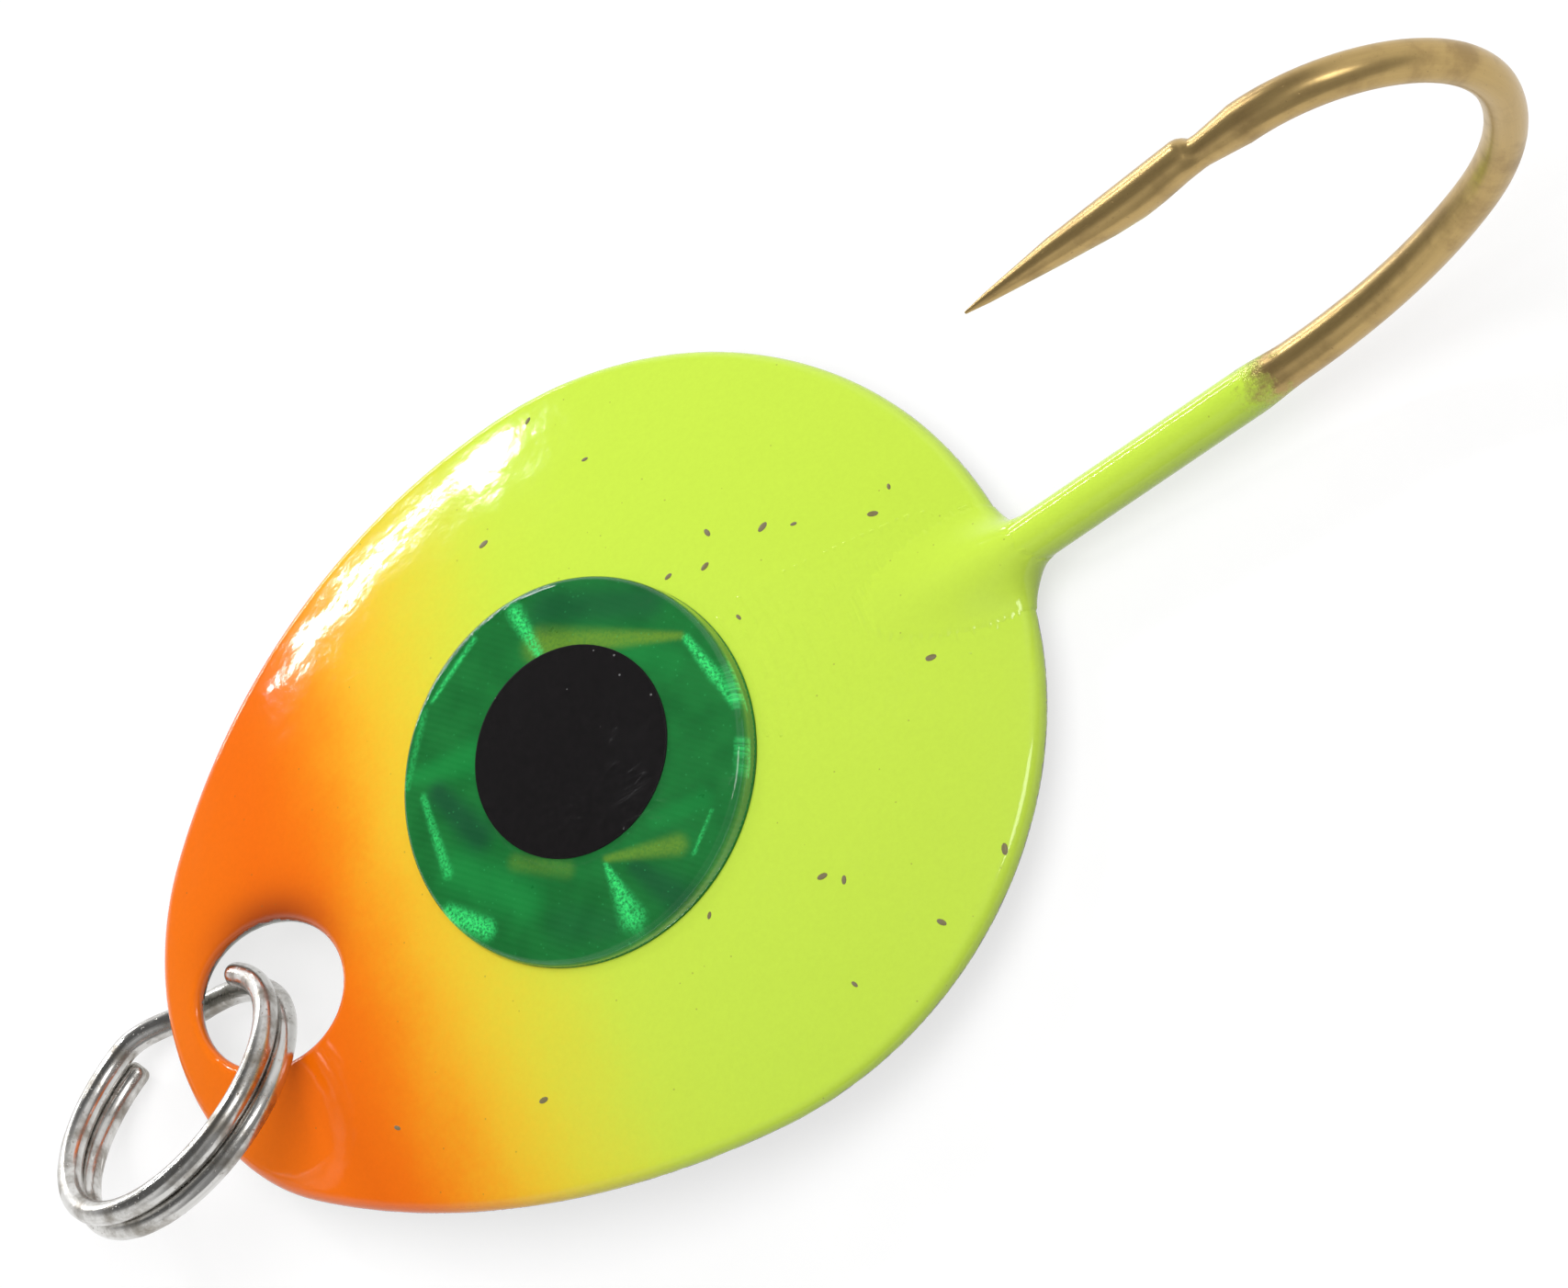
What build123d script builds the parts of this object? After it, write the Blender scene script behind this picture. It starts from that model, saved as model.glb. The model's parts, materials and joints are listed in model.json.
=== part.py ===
from build123d import *
import os
from math import cos, radians, sin, sqrt

# A small ice-fishing spoon: a domed sheet-metal blade with a stick-on eye, a hook soldered into a notch in its
# wide end, and a split ring through the line hole in its narrow end. Millimetres. +X runs from the ring to the
# hook, +Z is the painted front, and the origin is under the middle of the whole lure, on the surface it lies on.

# ---- blade ----
DOME_R = 16.0  # radius of the painted, convex face
SHEET = 0.24  # thickness of the sheet
WIDE_R = 5.27  # arc of the wide end
WIDE_X = 1.50  # its centre, from the crown of the dome
TIP_R = 3.38  # arc of the narrow end
TIP_X = -3.05
FLANK_R = 10.84  # arc that joins the two ends on each side

# ---- line hole: an oval, turned a little ----
HOLE_X = -4.62
HOLE_Y = 0.05
HOLE_LONG = 1.28  # half of the long way
HOLE_SHORT = 0.92
HOLE_TURN = -25.0

# ---- hook ----
WIRE = 0.56
SHANK_PROUD = 0.56818  # top of the wire above the back of the sheet, at the rim
SHANK_RISE = 3.0  # the shank's slope, in degrees
SHANK_OUT = 4.55  # straight length outside the rim
SHANK_IN = 3.60  # straight length under the blade
BEND = [(7.90, 28.9), (4.08, 38.7), (2.58, 21.6), (2.13, 91.5)]  # radius and turn of each arc in order
SPEAR = 4.52  # straight length from the bend to the point
NECK_FROM_POINT = 3.80
NECK_R = 0.205
BARB_FROM_POINT = 3.05
BARB_R = 0.315
TAPER_FROM_POINT = 1.50
TAPER_R = 0.19
POINT_R = 0.03

# ---- soldered joint ----
NOTCH_SIDE = 0.03  # gap between the wire and each wall of the notch
NOTCH_IN = 1.25  # depth of the notch from the rim
BEAD_COVER = 0.08  # solder under the wire
BEAD_WIDTH = 1.90
BEAD_LIP = 0.30  # solder beyond the wire's end
BEAD_ROUND = 0.40
RIM_GAP = 0.12  # how far the bead stops short of the rim

# ---- stick-on eye ----
EYE_X = 0.75
EYE_R = 2.50
FILM = 0.05
PUPIL_R = 1.37
PUPIL_DX = 0.10
PUPIL_DY = 0.20
PUPIL_SHEET = 0.03
COVER = 0.25  # clear cover at the middle, above the film
COVER_R = 12.0  # radius of its flatter top
COVER_ROUND = 0.12

# ---- split ring ----
RING_R = 1.79  # middle of the wire
RING_WIRE = 0.32
COIL_GAP = 0.012  # between the two turns
RING_FROM_HOLE_X = -1.74  # ring's centre, from the middle of the line hole
RING_FROM_HOLE_Y = -0.57
RING_UNDER_CROWN = 0.775
RING_AXIS = Vector(-0.135, 0.527, 0.845)  # the ring lies flopped over, close to the blade
RING_X_DIR = Vector(0.874, 0.462, -0.149)  # across the ring, towards the line hole
LOWER_END = 88.0  # angles round the ring, from RING_X_DIR
LOWER_START = 50.0
UPPER_END = 20.0
RING_HINGE = -15.0  # where the ring crosses the sheet inside the line hole


def hook_line(side):
    """The middle of the hook's wire, from under the blade to where the straight spear starts."""
    run_x = cos(radians(SHANK_RISE))
    run_z = sin(radians(SHANK_RISE))
    shank_start = (RIM_X - SHANK_IN * run_x, shank_z - SHANK_IN * run_z)
    shank_end = (RIM_X + SHANK_OUT * run_x, shank_z + SHANK_OUT * run_z)
    with BuildLine(side) as path:
        run = Line(shank_start, shank_end)
        for bend_radius, turn in BEND:
            run = JernArc(run @ 1, run % 1, bend_radius, turn)
    return path


# ---- places that follow from the sizes ----
RIM_X = WIDE_X + WIDE_R
wide_gap = FLANK_R - WIDE_R
tip_gap = FLANK_R - TIP_R
flank_x = (tip_gap**2 - wide_gap**2 + WIDE_X**2 - TIP_X**2) / (2 * (WIDE_X - TIP_X))
flank_centre = Vector(flank_x, -sqrt(wide_gap**2 - (flank_x - WIDE_X) ** 2))
wide_join = Vector(WIDE_X, 0) + (Vector(WIDE_X, 0) - flank_centre).normalized() * WIDE_R
tip_join = Vector(TIP_X, 0) + (Vector(TIP_X, 0) - flank_centre).normalized() * TIP_R

coil_level = (RING_WIRE + COIL_GAP) / 2
ring_axis = RING_AXIS.normalized()
ring_x = HOLE_X + RING_FROM_HOLE_X
ring_reach = RING_R * sqrt(1 - ring_axis.X**2) + coil_level * abs(ring_axis.X) + RING_WIRE / 2
shank_z = sqrt((DOME_R - SHEET) ** 2 - RIM_X**2) - DOME_R + SHANK_PROUD - WIRE / 2
wire_end_z = shank_z - SHANK_IN * sin(radians(SHANK_RISE))
bead_base_z = wire_end_z - WIRE / 2 - BEAD_COVER
hook_reach = hook_line(Plane.XZ).line.bounding_box().max.X + WIRE / 2

crown = Vector(-(hook_reach + ring_x - ring_reach) / 2, 0, -bead_base_z)
dome_centre = crown - Vector(0, 0, DOME_R)
base = Plane((crown.X, 0, 0))
side_plane = Plane(origin=crown, x_dir=(1, 0, 0), z_dir=(0, -1, 0))
ABOVE = crown.Z + 1.0  # higher than any part of the blade or the eye

# ---- blade: the outline and its cut-outs, kept where they lie in the shell of the dome ----
with BuildPart() as blade:
    with BuildSketch(base):
        with BuildLine():
            tip_arc = TangentArc((TIP_X - TIP_R, 0), tip_join, tangent=(0, 1))
            flank_arc = TangentArc(tip_arc @ 1, wide_join, tangent=tip_arc % 1)
            TangentArc(flank_arc @ 1, (RIM_X, 0), tangent=flank_arc % 1)
            mirror(about=Plane.XZ)
        make_face()
        with Locations((HOLE_X, HOLE_Y)):
            Ellipse(HOLE_LONG, HOLE_SHORT, rotation=HOLE_TURN, mode=Mode.SUBTRACT)
        with Locations((RIM_X, 0)):
            SlotOverall(2 * NOTCH_IN, WIRE + 2 * NOTCH_SIDE, mode=Mode.SUBTRACT)
    extrude(amount=ABOVE)
    with Locations(dome_centre):
        Sphere(DOME_R, rotation=(90, 0, 0), mode=Mode.INTERSECT)
        Sphere(DOME_R - SHEET, rotation=(90, 0, 0), mode=Mode.SUBTRACT)
blade.part.label = "blade"

# ---- hook: round wire, with a neck, a barb and a ground point ----
hook_path = hook_line(side_plane)
spear_start = hook_path.line @ 1
spear_run = hook_path.line % 1
point = spear_start + spear_run * SPEAR
spear_plane = Plane(origin=point, x_dir=-spear_run, z_dir=(0, -1, 0))
with BuildPart() as hook:
    with BuildSketch(Plane(origin=hook_path.line @ 0, z_dir=hook_path.line % 0)):
        Circle(WIRE / 2)
    sweep(path=hook_path.line)
    with BuildSketch(spear_plane):
        with BuildLine():
            Polyline((SPEAR, WIRE / 2), (SPEAR, 0), (0, 0), (0, POINT_R))
            ThreePointArc((0, POINT_R), (TAPER_FROM_POINT, TAPER_R), (BARB_FROM_POINT, BARB_R))
            Polyline((BARB_FROM_POINT, BARB_R), (NECK_FROM_POINT, NECK_R), (SPEAR, WIRE / 2))
        make_face()
    revolve(axis=Axis(point, spear_run))
hook.part.label = "hook"

# ---- soldered joint: the fill of the notch, and a bead along the wire in the hollow of the blade ----
bead_from = RIM_X - SHANK_IN - BEAD_LIP
bead_to = RIM_X - RIM_GAP
with BuildPart() as notch_fill:
    with BuildSketch(base):
        with Locations((bead_to, 0)):
            SlotOverall(2 * (NOTCH_IN - RIM_GAP), WIRE + 2 * NOTCH_SIDE)
        with Locations((bead_to + NOTCH_IN / 2, 0)):
            Rectangle(NOTCH_IN, BEAD_WIDTH, mode=Mode.SUBTRACT)
    extrude(amount=ABOVE)
    with Locations(dome_centre):
        Sphere(DOME_R, rotation=(90, 0, 0), mode=Mode.INTERSECT)
        Sphere(DOME_R - SHEET, rotation=(90, 0, 0), mode=Mode.SUBTRACT)

with BuildPart() as solder_joint:
    with BuildSketch(base):
        with Locations(((bead_from + bead_to) / 2, 0)):
            SlotOverall(bead_to - bead_from, BEAD_WIDTH)
    extrude(amount=ABOVE)
    fillet(solder_joint.faces().sort_by(Axis.Z)[0].edges(), BEAD_ROUND)
    with Locations(dome_centre):
        Sphere(DOME_R - SHEET, rotation=(90, 0, 0), mode=Mode.INTERSECT)
    add(notch_fill.part)
    add(hook.part, mode=Mode.SUBTRACT)
solder_joint.part.label = "solder_joint"

# ---- eye: film, pupil and clear cover, one on the other ----
eye_plane = Plane((crown.X + EYE_X, 0, 0))
pupil_plane = Plane((crown.X + EYE_X + PUPIL_DX, PUPIL_DY, 0))
with BuildPart() as eye_film:
    with BuildSketch(eye_plane):
        Circle(EYE_R)
    extrude(amount=ABOVE)
    with Locations(dome_centre):
        Sphere(DOME_R + FILM, rotation=(90, 0, 0), mode=Mode.INTERSECT)
        Sphere(DOME_R, rotation=(90, 0, 0), mode=Mode.SUBTRACT)
eye_film.part.label = "eye_film"

with BuildPart() as eye_pupil:
    with BuildSketch(pupil_plane):
        Circle(PUPIL_R)
    extrude(amount=ABOVE)
    with Locations(dome_centre):
        Sphere(DOME_R + FILM + PUPIL_SHEET, rotation=(90, 0, 0), mode=Mode.INTERSECT)
        Sphere(DOME_R + FILM, rotation=(90, 0, 0), mode=Mode.SUBTRACT)
eye_pupil.part.label = "eye_pupil"

with BuildPart() as eye_dome:
    with BuildSketch(eye_plane):
        Circle(EYE_R)
    extrude(amount=ABOVE)
    with Locations(crown + Vector(EYE_X, 0, FILM + COVER - COVER_R)):
        Sphere(COVER_R, rotation=(90, 0, 0), mode=Mode.INTERSECT)
    fillet(eye_dome.edges().group_by(Axis.Z)[-1], COVER_ROUND)
    with Locations(dome_centre):
        Sphere(DOME_R + FILM, rotation=(90, 0, 0), mode=Mode.SUBTRACT)
    add(eye_pupil.part, mode=Mode.SUBTRACT)
eye_dome.part.label = "eye_dome"

# ---- split ring: two turns of one wire, which steps from the lower turn to the upper one ----
ring_centre = crown + Vector(ring_x, HOLE_Y + RING_FROM_HOLE_Y, -RING_UNDER_CROWN)
ring_plane = Plane(origin=ring_centre, x_dir=RING_X_DIR, z_dir=ring_axis)
ring_line = Axis(ring_centre, ring_plane.z_dir)


def ring_point(angle, level):
    """A point of the wire's middle, in the ring's own plane."""
    return ring_plane.from_local_coords(
        Vector(RING_R * cos(radians(angle)), RING_R * sin(radians(angle)), level)
    )


def ring_run(angle):
    """The wire's direction there, with rising angle."""
    ahead = Vector(-sin(radians(angle)), cos(radians(angle)), 0)
    return ring_plane.from_local_coords(ahead) - ring_plane.origin


with BuildPart() as split_ring:
    with BuildSketch(Plane(origin=ring_point(LOWER_START, -coil_level), z_dir=ring_run(LOWER_START))):
        Circle(RING_WIRE / 2)
    revolve(axis=ring_line, revolution_arc=LOWER_END - LOWER_START - 360)
    with BuildSketch(Plane(origin=ring_point(LOWER_END, coil_level), z_dir=ring_run(LOWER_END))):
        Circle(RING_WIRE / 2)
    revolve(axis=ring_line, revolution_arc=360 + UPPER_END - LOWER_END)
    with BuildLine() as step:
        Spline(
            ring_point(LOWER_START, -coil_level),
            ring_point((LOWER_START + LOWER_END) / 2, 0),
            ring_point(LOWER_END, coil_level),
            tangents=[ring_run(LOWER_START), ring_run(LOWER_END)],
        )
    with BuildSketch(Plane(origin=step.line @ 0, z_dir=step.line % 0)):
        Circle(RING_WIRE / 2)
    sweep(path=step.line)
split_ring.part.label = "split_ring"

hinge_angle = radians(RING_HINGE)
hinge_run = ring_plane.from_local_coords(Vector(-cos(hinge_angle), -sin(hinge_angle), 0)) - ring_centre
print("crown of the dome", crown)
print("ring centre", ring_centre)
print("ring hinge axis", hinge_run)

os.makedirs("parts", exist_ok=True)
export_step(blade.part, "parts/blade.step")
export_step(hook.part, "parts/hook.step")
export_step(solder_joint.part, "parts/solder_joint.step")
export_step(eye_film.part, "parts/eye_film.step")
export_step(eye_pupil.part, "parts/eye_pupil.step")
export_step(eye_dome.part, "parts/eye_dome.step")
export_step(split_ring.part, "parts/split_ring.step")
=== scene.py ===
import json
from math import atan2, cos, pi, radians, sin, sqrt

import bpy
import numpy as np
from bpy.props import FloatProperty, FloatVectorProperty, IntProperty, PointerProperty
from mathutils import Matrix, Vector


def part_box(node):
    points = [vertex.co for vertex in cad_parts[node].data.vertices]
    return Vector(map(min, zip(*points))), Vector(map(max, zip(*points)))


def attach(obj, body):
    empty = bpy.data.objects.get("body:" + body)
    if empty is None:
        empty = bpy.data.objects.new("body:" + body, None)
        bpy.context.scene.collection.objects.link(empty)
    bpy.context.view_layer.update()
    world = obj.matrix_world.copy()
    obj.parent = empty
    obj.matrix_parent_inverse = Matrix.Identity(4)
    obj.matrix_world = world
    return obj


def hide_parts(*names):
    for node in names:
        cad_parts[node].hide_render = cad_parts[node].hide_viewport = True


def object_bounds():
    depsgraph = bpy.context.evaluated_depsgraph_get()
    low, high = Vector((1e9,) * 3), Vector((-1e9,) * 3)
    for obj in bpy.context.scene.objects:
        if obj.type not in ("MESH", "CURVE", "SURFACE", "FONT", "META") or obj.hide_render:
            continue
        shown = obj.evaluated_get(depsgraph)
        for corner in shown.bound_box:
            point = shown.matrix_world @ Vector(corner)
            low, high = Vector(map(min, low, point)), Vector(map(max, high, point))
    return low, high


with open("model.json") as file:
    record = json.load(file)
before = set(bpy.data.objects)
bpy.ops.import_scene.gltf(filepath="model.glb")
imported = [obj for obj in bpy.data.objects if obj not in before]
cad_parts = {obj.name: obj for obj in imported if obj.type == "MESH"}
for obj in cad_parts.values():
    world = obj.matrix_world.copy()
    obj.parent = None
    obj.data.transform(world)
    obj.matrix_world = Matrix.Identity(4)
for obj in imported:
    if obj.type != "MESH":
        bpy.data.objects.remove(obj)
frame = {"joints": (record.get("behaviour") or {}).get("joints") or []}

bl_info = {
    "name": "Spoon Lure",
    "version": (1, 0, 0),
    "blender": (4, 5, 0),
    "location": "3D Viewport > Sidebar > Spoon Lure",
    "description": "Builds a painted spoon lure with a fixed hook, a stick-on eye and a split ring",
    "category": "Add Mesh",
}

CAD_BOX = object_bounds()
MM = 0.001
EYE_AHEAD = 0.00075  # the eye's middle, from the crown of the dome
FILM_SHEET = 0.00005
HOLE_ASIDE = 0.05  # the line hole's middle beside the lure's own middle line, in millimetres
film_low, film_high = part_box("eye_film")
CROWN = Vector(((film_low[0] + film_high[0]) / 2 - EYE_AHEAD, 0.0, film_high[2] - FILM_SHEET))


def shade(red, green, blue):
    """A screen colour, 0 to 255, as the linear colour that the nodes take."""
    return tuple(c / 3294.6 if c <= 10.3 else ((c / 255 + 0.055) / 1.055) ** 2.4 for c in (red, green, blue))


def length(name, about, default):
    return FloatProperty(name=name, description=about, default=default, unit="LENGTH", precision=5)


def colour(name, about, default):
    return FloatVectorProperty(
        name=name, description=about, default=default, subtype="COLOR", size=3, min=0, max=1
    )


def angle(name, about, default):
    return FloatProperty(name=name, description=about, default=radians(default), subtype="ANGLE")


def power(name, about, default):
    return FloatProperty(name=name, description=about, default=default, unit="POWER")


# ---------------------------------------------------------------- sizes and colours a user may change


class BladeSizes(bpy.types.PropertyGroup):
    """The domed sheet."""

    dome: length("Dome radius", "Radius of the painted face", 0.016)
    sheet: length("Sheet", "Thickness of the sheet", 0.00024)
    wide_round: length("Wide end", "Radius of the wide end", 0.00527)
    wide_place: length("Wide end place", "Middle of the wide end's arc, from the crown", 0.0015)
    tip_round: length("Narrow end", "Radius of the narrow end", 0.00338)
    tip_place: length("Narrow end place", "Middle of the narrow end's arc, from the crown", -0.00305)
    flank: length("Flank", "Radius of the long sides", 0.01084)
    hole_place: length("Hole place", "Middle of the line hole, from the crown", -0.00462)
    hole_long: length("Hole, long way", "Half of the line hole's longer size", 0.00128)
    hole_short: length("Hole, short way", "Half of the line hole's shorter size", 0.00092)
    hole_turn: angle("Hole turn", "How far the oval is turned", -25)
    edge_round: length("Edge", "Rounding of the sheet's edges under the paint", 0.00011)
    lip: length("Hole lip", "How far the sheet dips beside the line hole", 0.00009)
    net: length("Mesh size", "Size of the blade's faces", 0.00006)


class HookSizes(bpy.types.PropertyGroup):
    """The bent wire, its barb and its point."""

    wire: length("Wire", "Thickness of the bare wire", 0.00056)
    paint_film: length("Paint", "Thickness of the paint on the shank", 0.000042)
    paint_end: length("Painted length", "Where the paint ends, from the wire's hidden end", 0.0078)
    shank_drop: length("Shank drop", "Middle of the wire below the crown, at the rim", 0.00148)
    shank_rise: angle("Shank rise", "Slope of the shank", 3)
    shank_in: length("Shank inside", "Straight length under the blade", 0.0036)
    shank_out: length("Shank outside", "Straight length outside the rim", 0.00455)
    spear: length("Spear", "Straight length to the point", 0.00452)
    sides: IntProperty(name="Sides", description="Faces round the wire", default=40, min=8, max=96)


class JointSizes(bpy.types.PropertyGroup):
    """The soldered joint."""

    bead_wide: length("Bead", "Width of the solder bead", 0.0019)
    bead_lip: length("Bead end", "Solder beyond the wire's end", 0.0003)
    bead_round: length("Bead edge", "Rounding of the bead", 0.0004)
    rim_gap: length("Rim gap", "How far the bead stops short of the rim", 0.00012)
    notch_deep: length("Notch", "Depth of the notch", 0.00125)
    notch_half: length("Notch half width", "Half of the notch's width", 0.00031)
    fillet: length("Fillet", "Reach of the paint fillet round the shank", 0.0006)
    net: length("Mesh size", "Size of the joint's faces", 0.00004)


class EyeSizes(bpy.types.PropertyGroup):
    """The stick-on eye."""

    round: length("Eye radius", "Radius of film and cover", 0.0025)
    film: length("Film", "Thickness of the film", FILM_SHEET)
    pupil: length("Pupil radius", "Radius of the black disc", 0.00137)
    pupil_sheet: length("Pupil sheet", "Thickness of the black disc", 0.00003)
    pupil_ahead: length("Pupil ahead", "Pupil's middle from the eye's, along the lure", 0.0001)
    pupil_aside: length("Pupil aside", "Pupil's middle from the eye's, across the lure", 0.0002)
    cover: length("Cover", "Clear cover at the middle", 0.00025)
    cover_dome: length("Cover dome", "Radius of the cover's top", 0.012)
    cover_round: length("Cover shoulder", "Rounding of the cover's shoulder", 0.00012)


class RingSizes(bpy.types.PropertyGroup):
    """The split ring."""

    middle: length("Ring radius", "Radius to the middle of the wire", 0.00179)
    wire: length("Ring wire", "Thickness of the wire", 0.00032)
    coil_gap: length("Coil gap", "Space between the two turns", 0.000012)
    sides: IntProperty(name="Sides", description="Faces round the wire", default=28, min=8, max=64)


class FleckSizes(bpy.types.PropertyGroup):
    """The small dark chips caught in the paint."""

    long: length("Chip", "Length of a chip", 0.00013)
    thick: length("Chip height", "How far a chip stands out of the paint", 0.000012)
    crowd: FloatProperty(
        name="Chips per square centimetre", description="How close the chips lie", default=34.0, min=0
    )
    seed: IntProperty(name="Seed", description="Another number scatters the chips anew", default=7)


class Finish(bpy.types.PropertyGroup):
    """Colours of the finishes."""

    tip: colour("Tip orange", "Spray at the very tip", shade(250, 122, 14))
    orange: colour("Orange", "Spray round the line hole", shade(249, 113, 8))
    amber: colour("Amber", "Where orange starts to fade", shade(253, 148, 22))
    gold: colour("Gold", "Middle of the fade", shade(250, 196, 46))
    lemon: colour("Lemon", "End of the fade", shade(232, 222, 62))
    chartreuse: colour("Chartreuse", "Spray on the wide end", shade(206, 238, 76))
    # painted shade: the red-brown that darkens the paint in the dip beside the line hole
    painted_hole_shade: colour("Hole shade", "Painted shade in the dip beside the hole", shade(150, 58, 16))
    nickel: colour("Nickel", "Bare sheet", shade(176, 176, 170))
    solder: colour("Solder", "Bare solder", shade(158, 160, 160))
    bronze: colour("Hook plating", "Plating of the hook", shade(202, 172, 112))
    steel: colour("Ring steel", "Nickelled spring wire", shade(226, 225, 222))
    foil: colour("Foil", "Green foil of the eye", shade(0, 116, 44))
    # painted glints: the brightest facets of the foil, where they catch the light
    foil_painted_glint: colour("Foil glint", "Brightest facets of the foil", shade(60, 252, 130))
    foil_yellow: colour("Foil yellow", "Yellow facets of the foil", shade(132, 178, 44))
    pupil: colour("Pupil", "Black of the eye", shade(6, 4, 5))
    chip: colour("Chip", "Dark chips in the paint", shade(126, 116, 66))


class StageSettings(bpy.types.PropertyGroup):
    """Camera and lights."""

    distance: length("Camera distance", "From the camera to the lure", 0.70)
    frame_wide: length("Frame", "Width that the camera sees at the lure", 0.019666)
    window: power("Window", "Power of the narrow window", 3.6)
    side: power("Side light", "Power of the low side light", 4.0)
    overhead: power("Overhead light", "Power of the soft overhead light", 24.5)
    room: FloatProperty(name="Room", description="Brightness of the room", default=0.9, min=0)


# ---------------------------------------------------------------- node helpers


def fill(tree, node, sockets):
    """Sets or links a node's inputs; a colour may come without its alpha."""
    for key, value in sockets.items():
        end = node.inputs[key]
        if isinstance(value, bpy.types.NodeSocket):
            tree.links.new(value, end)
        else:
            end.default_value = (*value, 1.0) if end.type == "RGBA" and len(value) == 3 else value


def spaced(sockets):
    """Inputs by name, where a name's spaces were written as underscores."""
    return {key.replace("_", " "): value for key, value in sockets.items()}


def plug(tree, shader, **sockets):
    fill(tree, shader, spaced(sockets))


def add(tree, kind, sockets=None, **settings):
    """A new node with its settings, and its inputs set or linked."""
    made = tree.nodes.new(kind)
    for key, value in settings.items():
        setattr(made, key, value)
    fill(tree, made, sockets or {})
    return made


def use(tree, group, **sockets):
    """Places a shared group in a material."""
    return add(tree, "ShaderNodeGroup", spaced(sockets), node_tree=group).outputs


def calc(tree, operation, *values, clamp=False):
    sockets = dict(enumerate(values))
    return add(tree, "ShaderNodeMath", sockets, operation=operation, use_clamp=clamp).outputs[0]


def times(tree, a, b, clamp=False):
    return calc(tree, "MULTIPLY", a, b, clamp=clamp)


def vector(tree, operation, *values):
    return add(tree, "ShaderNodeVectorMath", dict(enumerate(values)), operation=operation).outputs[0]


def scaled(tree, way, size):
    """A vector or colour times a number."""
    return add(tree, "ShaderNodeVectorMath", {0: way, "Scale": size}, operation="SCALE").outputs[0]


def dot(tree, a, b):
    return add(tree, "ShaderNodeVectorMath", {0: a, 1: b}, operation="DOT_PRODUCT").outputs["Value"]


def parts_of(tree, way):
    """The X, Y and Z of a vector."""
    return add(tree, "ShaderNodeSeparateXYZ", {0: way}).outputs


def mix(tree, factor, a, b, mode="MIX"):
    """Two colours mixed."""
    return add(
        tree, "ShaderNodeMix", {0: factor, 6: a, 7: b}, data_type="RGBA", blend_type=mode, clamp_result=False
    ).outputs[2]


def spread(tree, value, low, high, to_low=0.0, to_high=1.0, soft=True):
    """A value brought from one range into another."""
    return add(
        tree,
        "ShaderNodeMapRange",
        {0: value, 1: low, 2: high, 3: to_low, 4: to_high},
        interpolation_type="SMOOTHSTEP" if soft else "LINEAR",
        clamp=True,
    ).outputs[0]


def noise(tree, place, scale, detail=3.0, rough=0.5):
    sockets = {"Vector": place, "Scale": scale, "Detail": detail, "Roughness": rough}
    return add(tree, "ShaderNodeTexNoise", sockets).outputs[0]


def attribute(tree, name, output="Fac"):
    return add(tree, "ShaderNodeAttribute", attribute_name=name).outputs[output]


def new_group(name, inputs, outputs, kind="ShaderNodeTree"):
    """A node group with named sockets, and its two end nodes."""
    tree = bpy.data.node_groups.new(name, kind)
    for socket, (socket_kind, default) in inputs.items():
        made = tree.interface.new_socket(socket, in_out="INPUT", socket_type=socket_kind)
        if default is not None:
            made.default_value = default
    for socket, socket_kind in outputs.items():
        tree.interface.new_socket(socket, in_out="OUTPUT", socket_type=socket_kind)
    return tree, tree.nodes.new("NodeGroupInput").outputs, tree.nodes.new("NodeGroupOutput").inputs


def shared(name):
    """For a function that builds the node group of this name: it runs once, then the group is found again."""

    def once(build):
        return lambda *given: bpy.data.node_groups.get(name) or build(name, *given)

    return once


FLOAT, VECTOR, COLOUR = "NodeSocketFloat", "NodeSocketVector", "NodeSocketColor"


# ---------------------------------------------------------------- shared effects


def lure_place(tree):
    """Millimetres from the crown of the dome."""
    here = add(tree, "ShaderNodeTexCoord").outputs["Object"]
    return scaled(tree, vector(tree, "SUBTRACT", here, tuple(CROWN)), 1 / MM)


@shared("Sprayed Fade")
def sprayed_fade(name, finish):
    """Paint colour along the lure, from orange over yellow to chartreuse, with the drift of the spray."""
    tree, given, out = new_group(
        name, {"Place": (VECTOR, None), "Drift": (FLOAT, 0.55), "Mottle": (FLOAT, 0.05)}, {"Colour": COLOUR}
    )
    spot = parts_of(tree, given["Place"])
    along = calc(tree, "SUBTRACT", spot[0], times(tree, spot[1], 0.10))
    cloud = calc(tree, "SUBTRACT", noise(tree, given["Place"], 0.8, 2.0), 0.5)
    mist = calc(tree, "SUBTRACT", noise(tree, given["Place"], 9.0, 3.0, 0.7), 0.5)
    shift = calc(tree, "ADD", times(tree, cloud, given["Drift"]), times(tree, mist, 0.35))
    shifted = calc(tree, "ADD", along, shift)
    first, last = -6.5, 3.5  # the colour ramp's ends, in millimetres from the crown
    where = add(tree, "ShaderNodeMapRange", {0: shifted, 1: first, 2: last, 3: 0.0, 4: 1.0}).outputs[0]
    ramp = add(tree, "ShaderNodeValToRGB", {0: where})
    ramp.color_ramp.interpolation = "B_SPLINE"
    stops = (
        (-6.2, finish.tip),
        (-4.6, finish.orange),
        (-3.5, finish.orange),
        (-2.75, finish.amber),
        (-1.95, finish.gold),
        (-0.9, finish.lemon),
        (0.4, finish.chartreuse),
        (3.4, finish.chartreuse),
    )
    ends = ramp.color_ramp.elements
    for number, (place, paint) in enumerate(stops):
        stop = ends[number] if number < 2 else ends.new(0.999)
        stop.position = (place - first) / (last - first)
        stop.color = (*paint, 1)
    grain = calc(tree, "SUBTRACT", noise(tree, given["Place"], 14.0, 4.0, 0.7), 0.5)
    level = calc(tree, "ADD", times(tree, grain, times(tree, given["Mottle"], 2.0)), 1.0)
    tree.links.new(scaled(tree, ramp.outputs[0], level), out["Colour"])
    return tree


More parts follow.
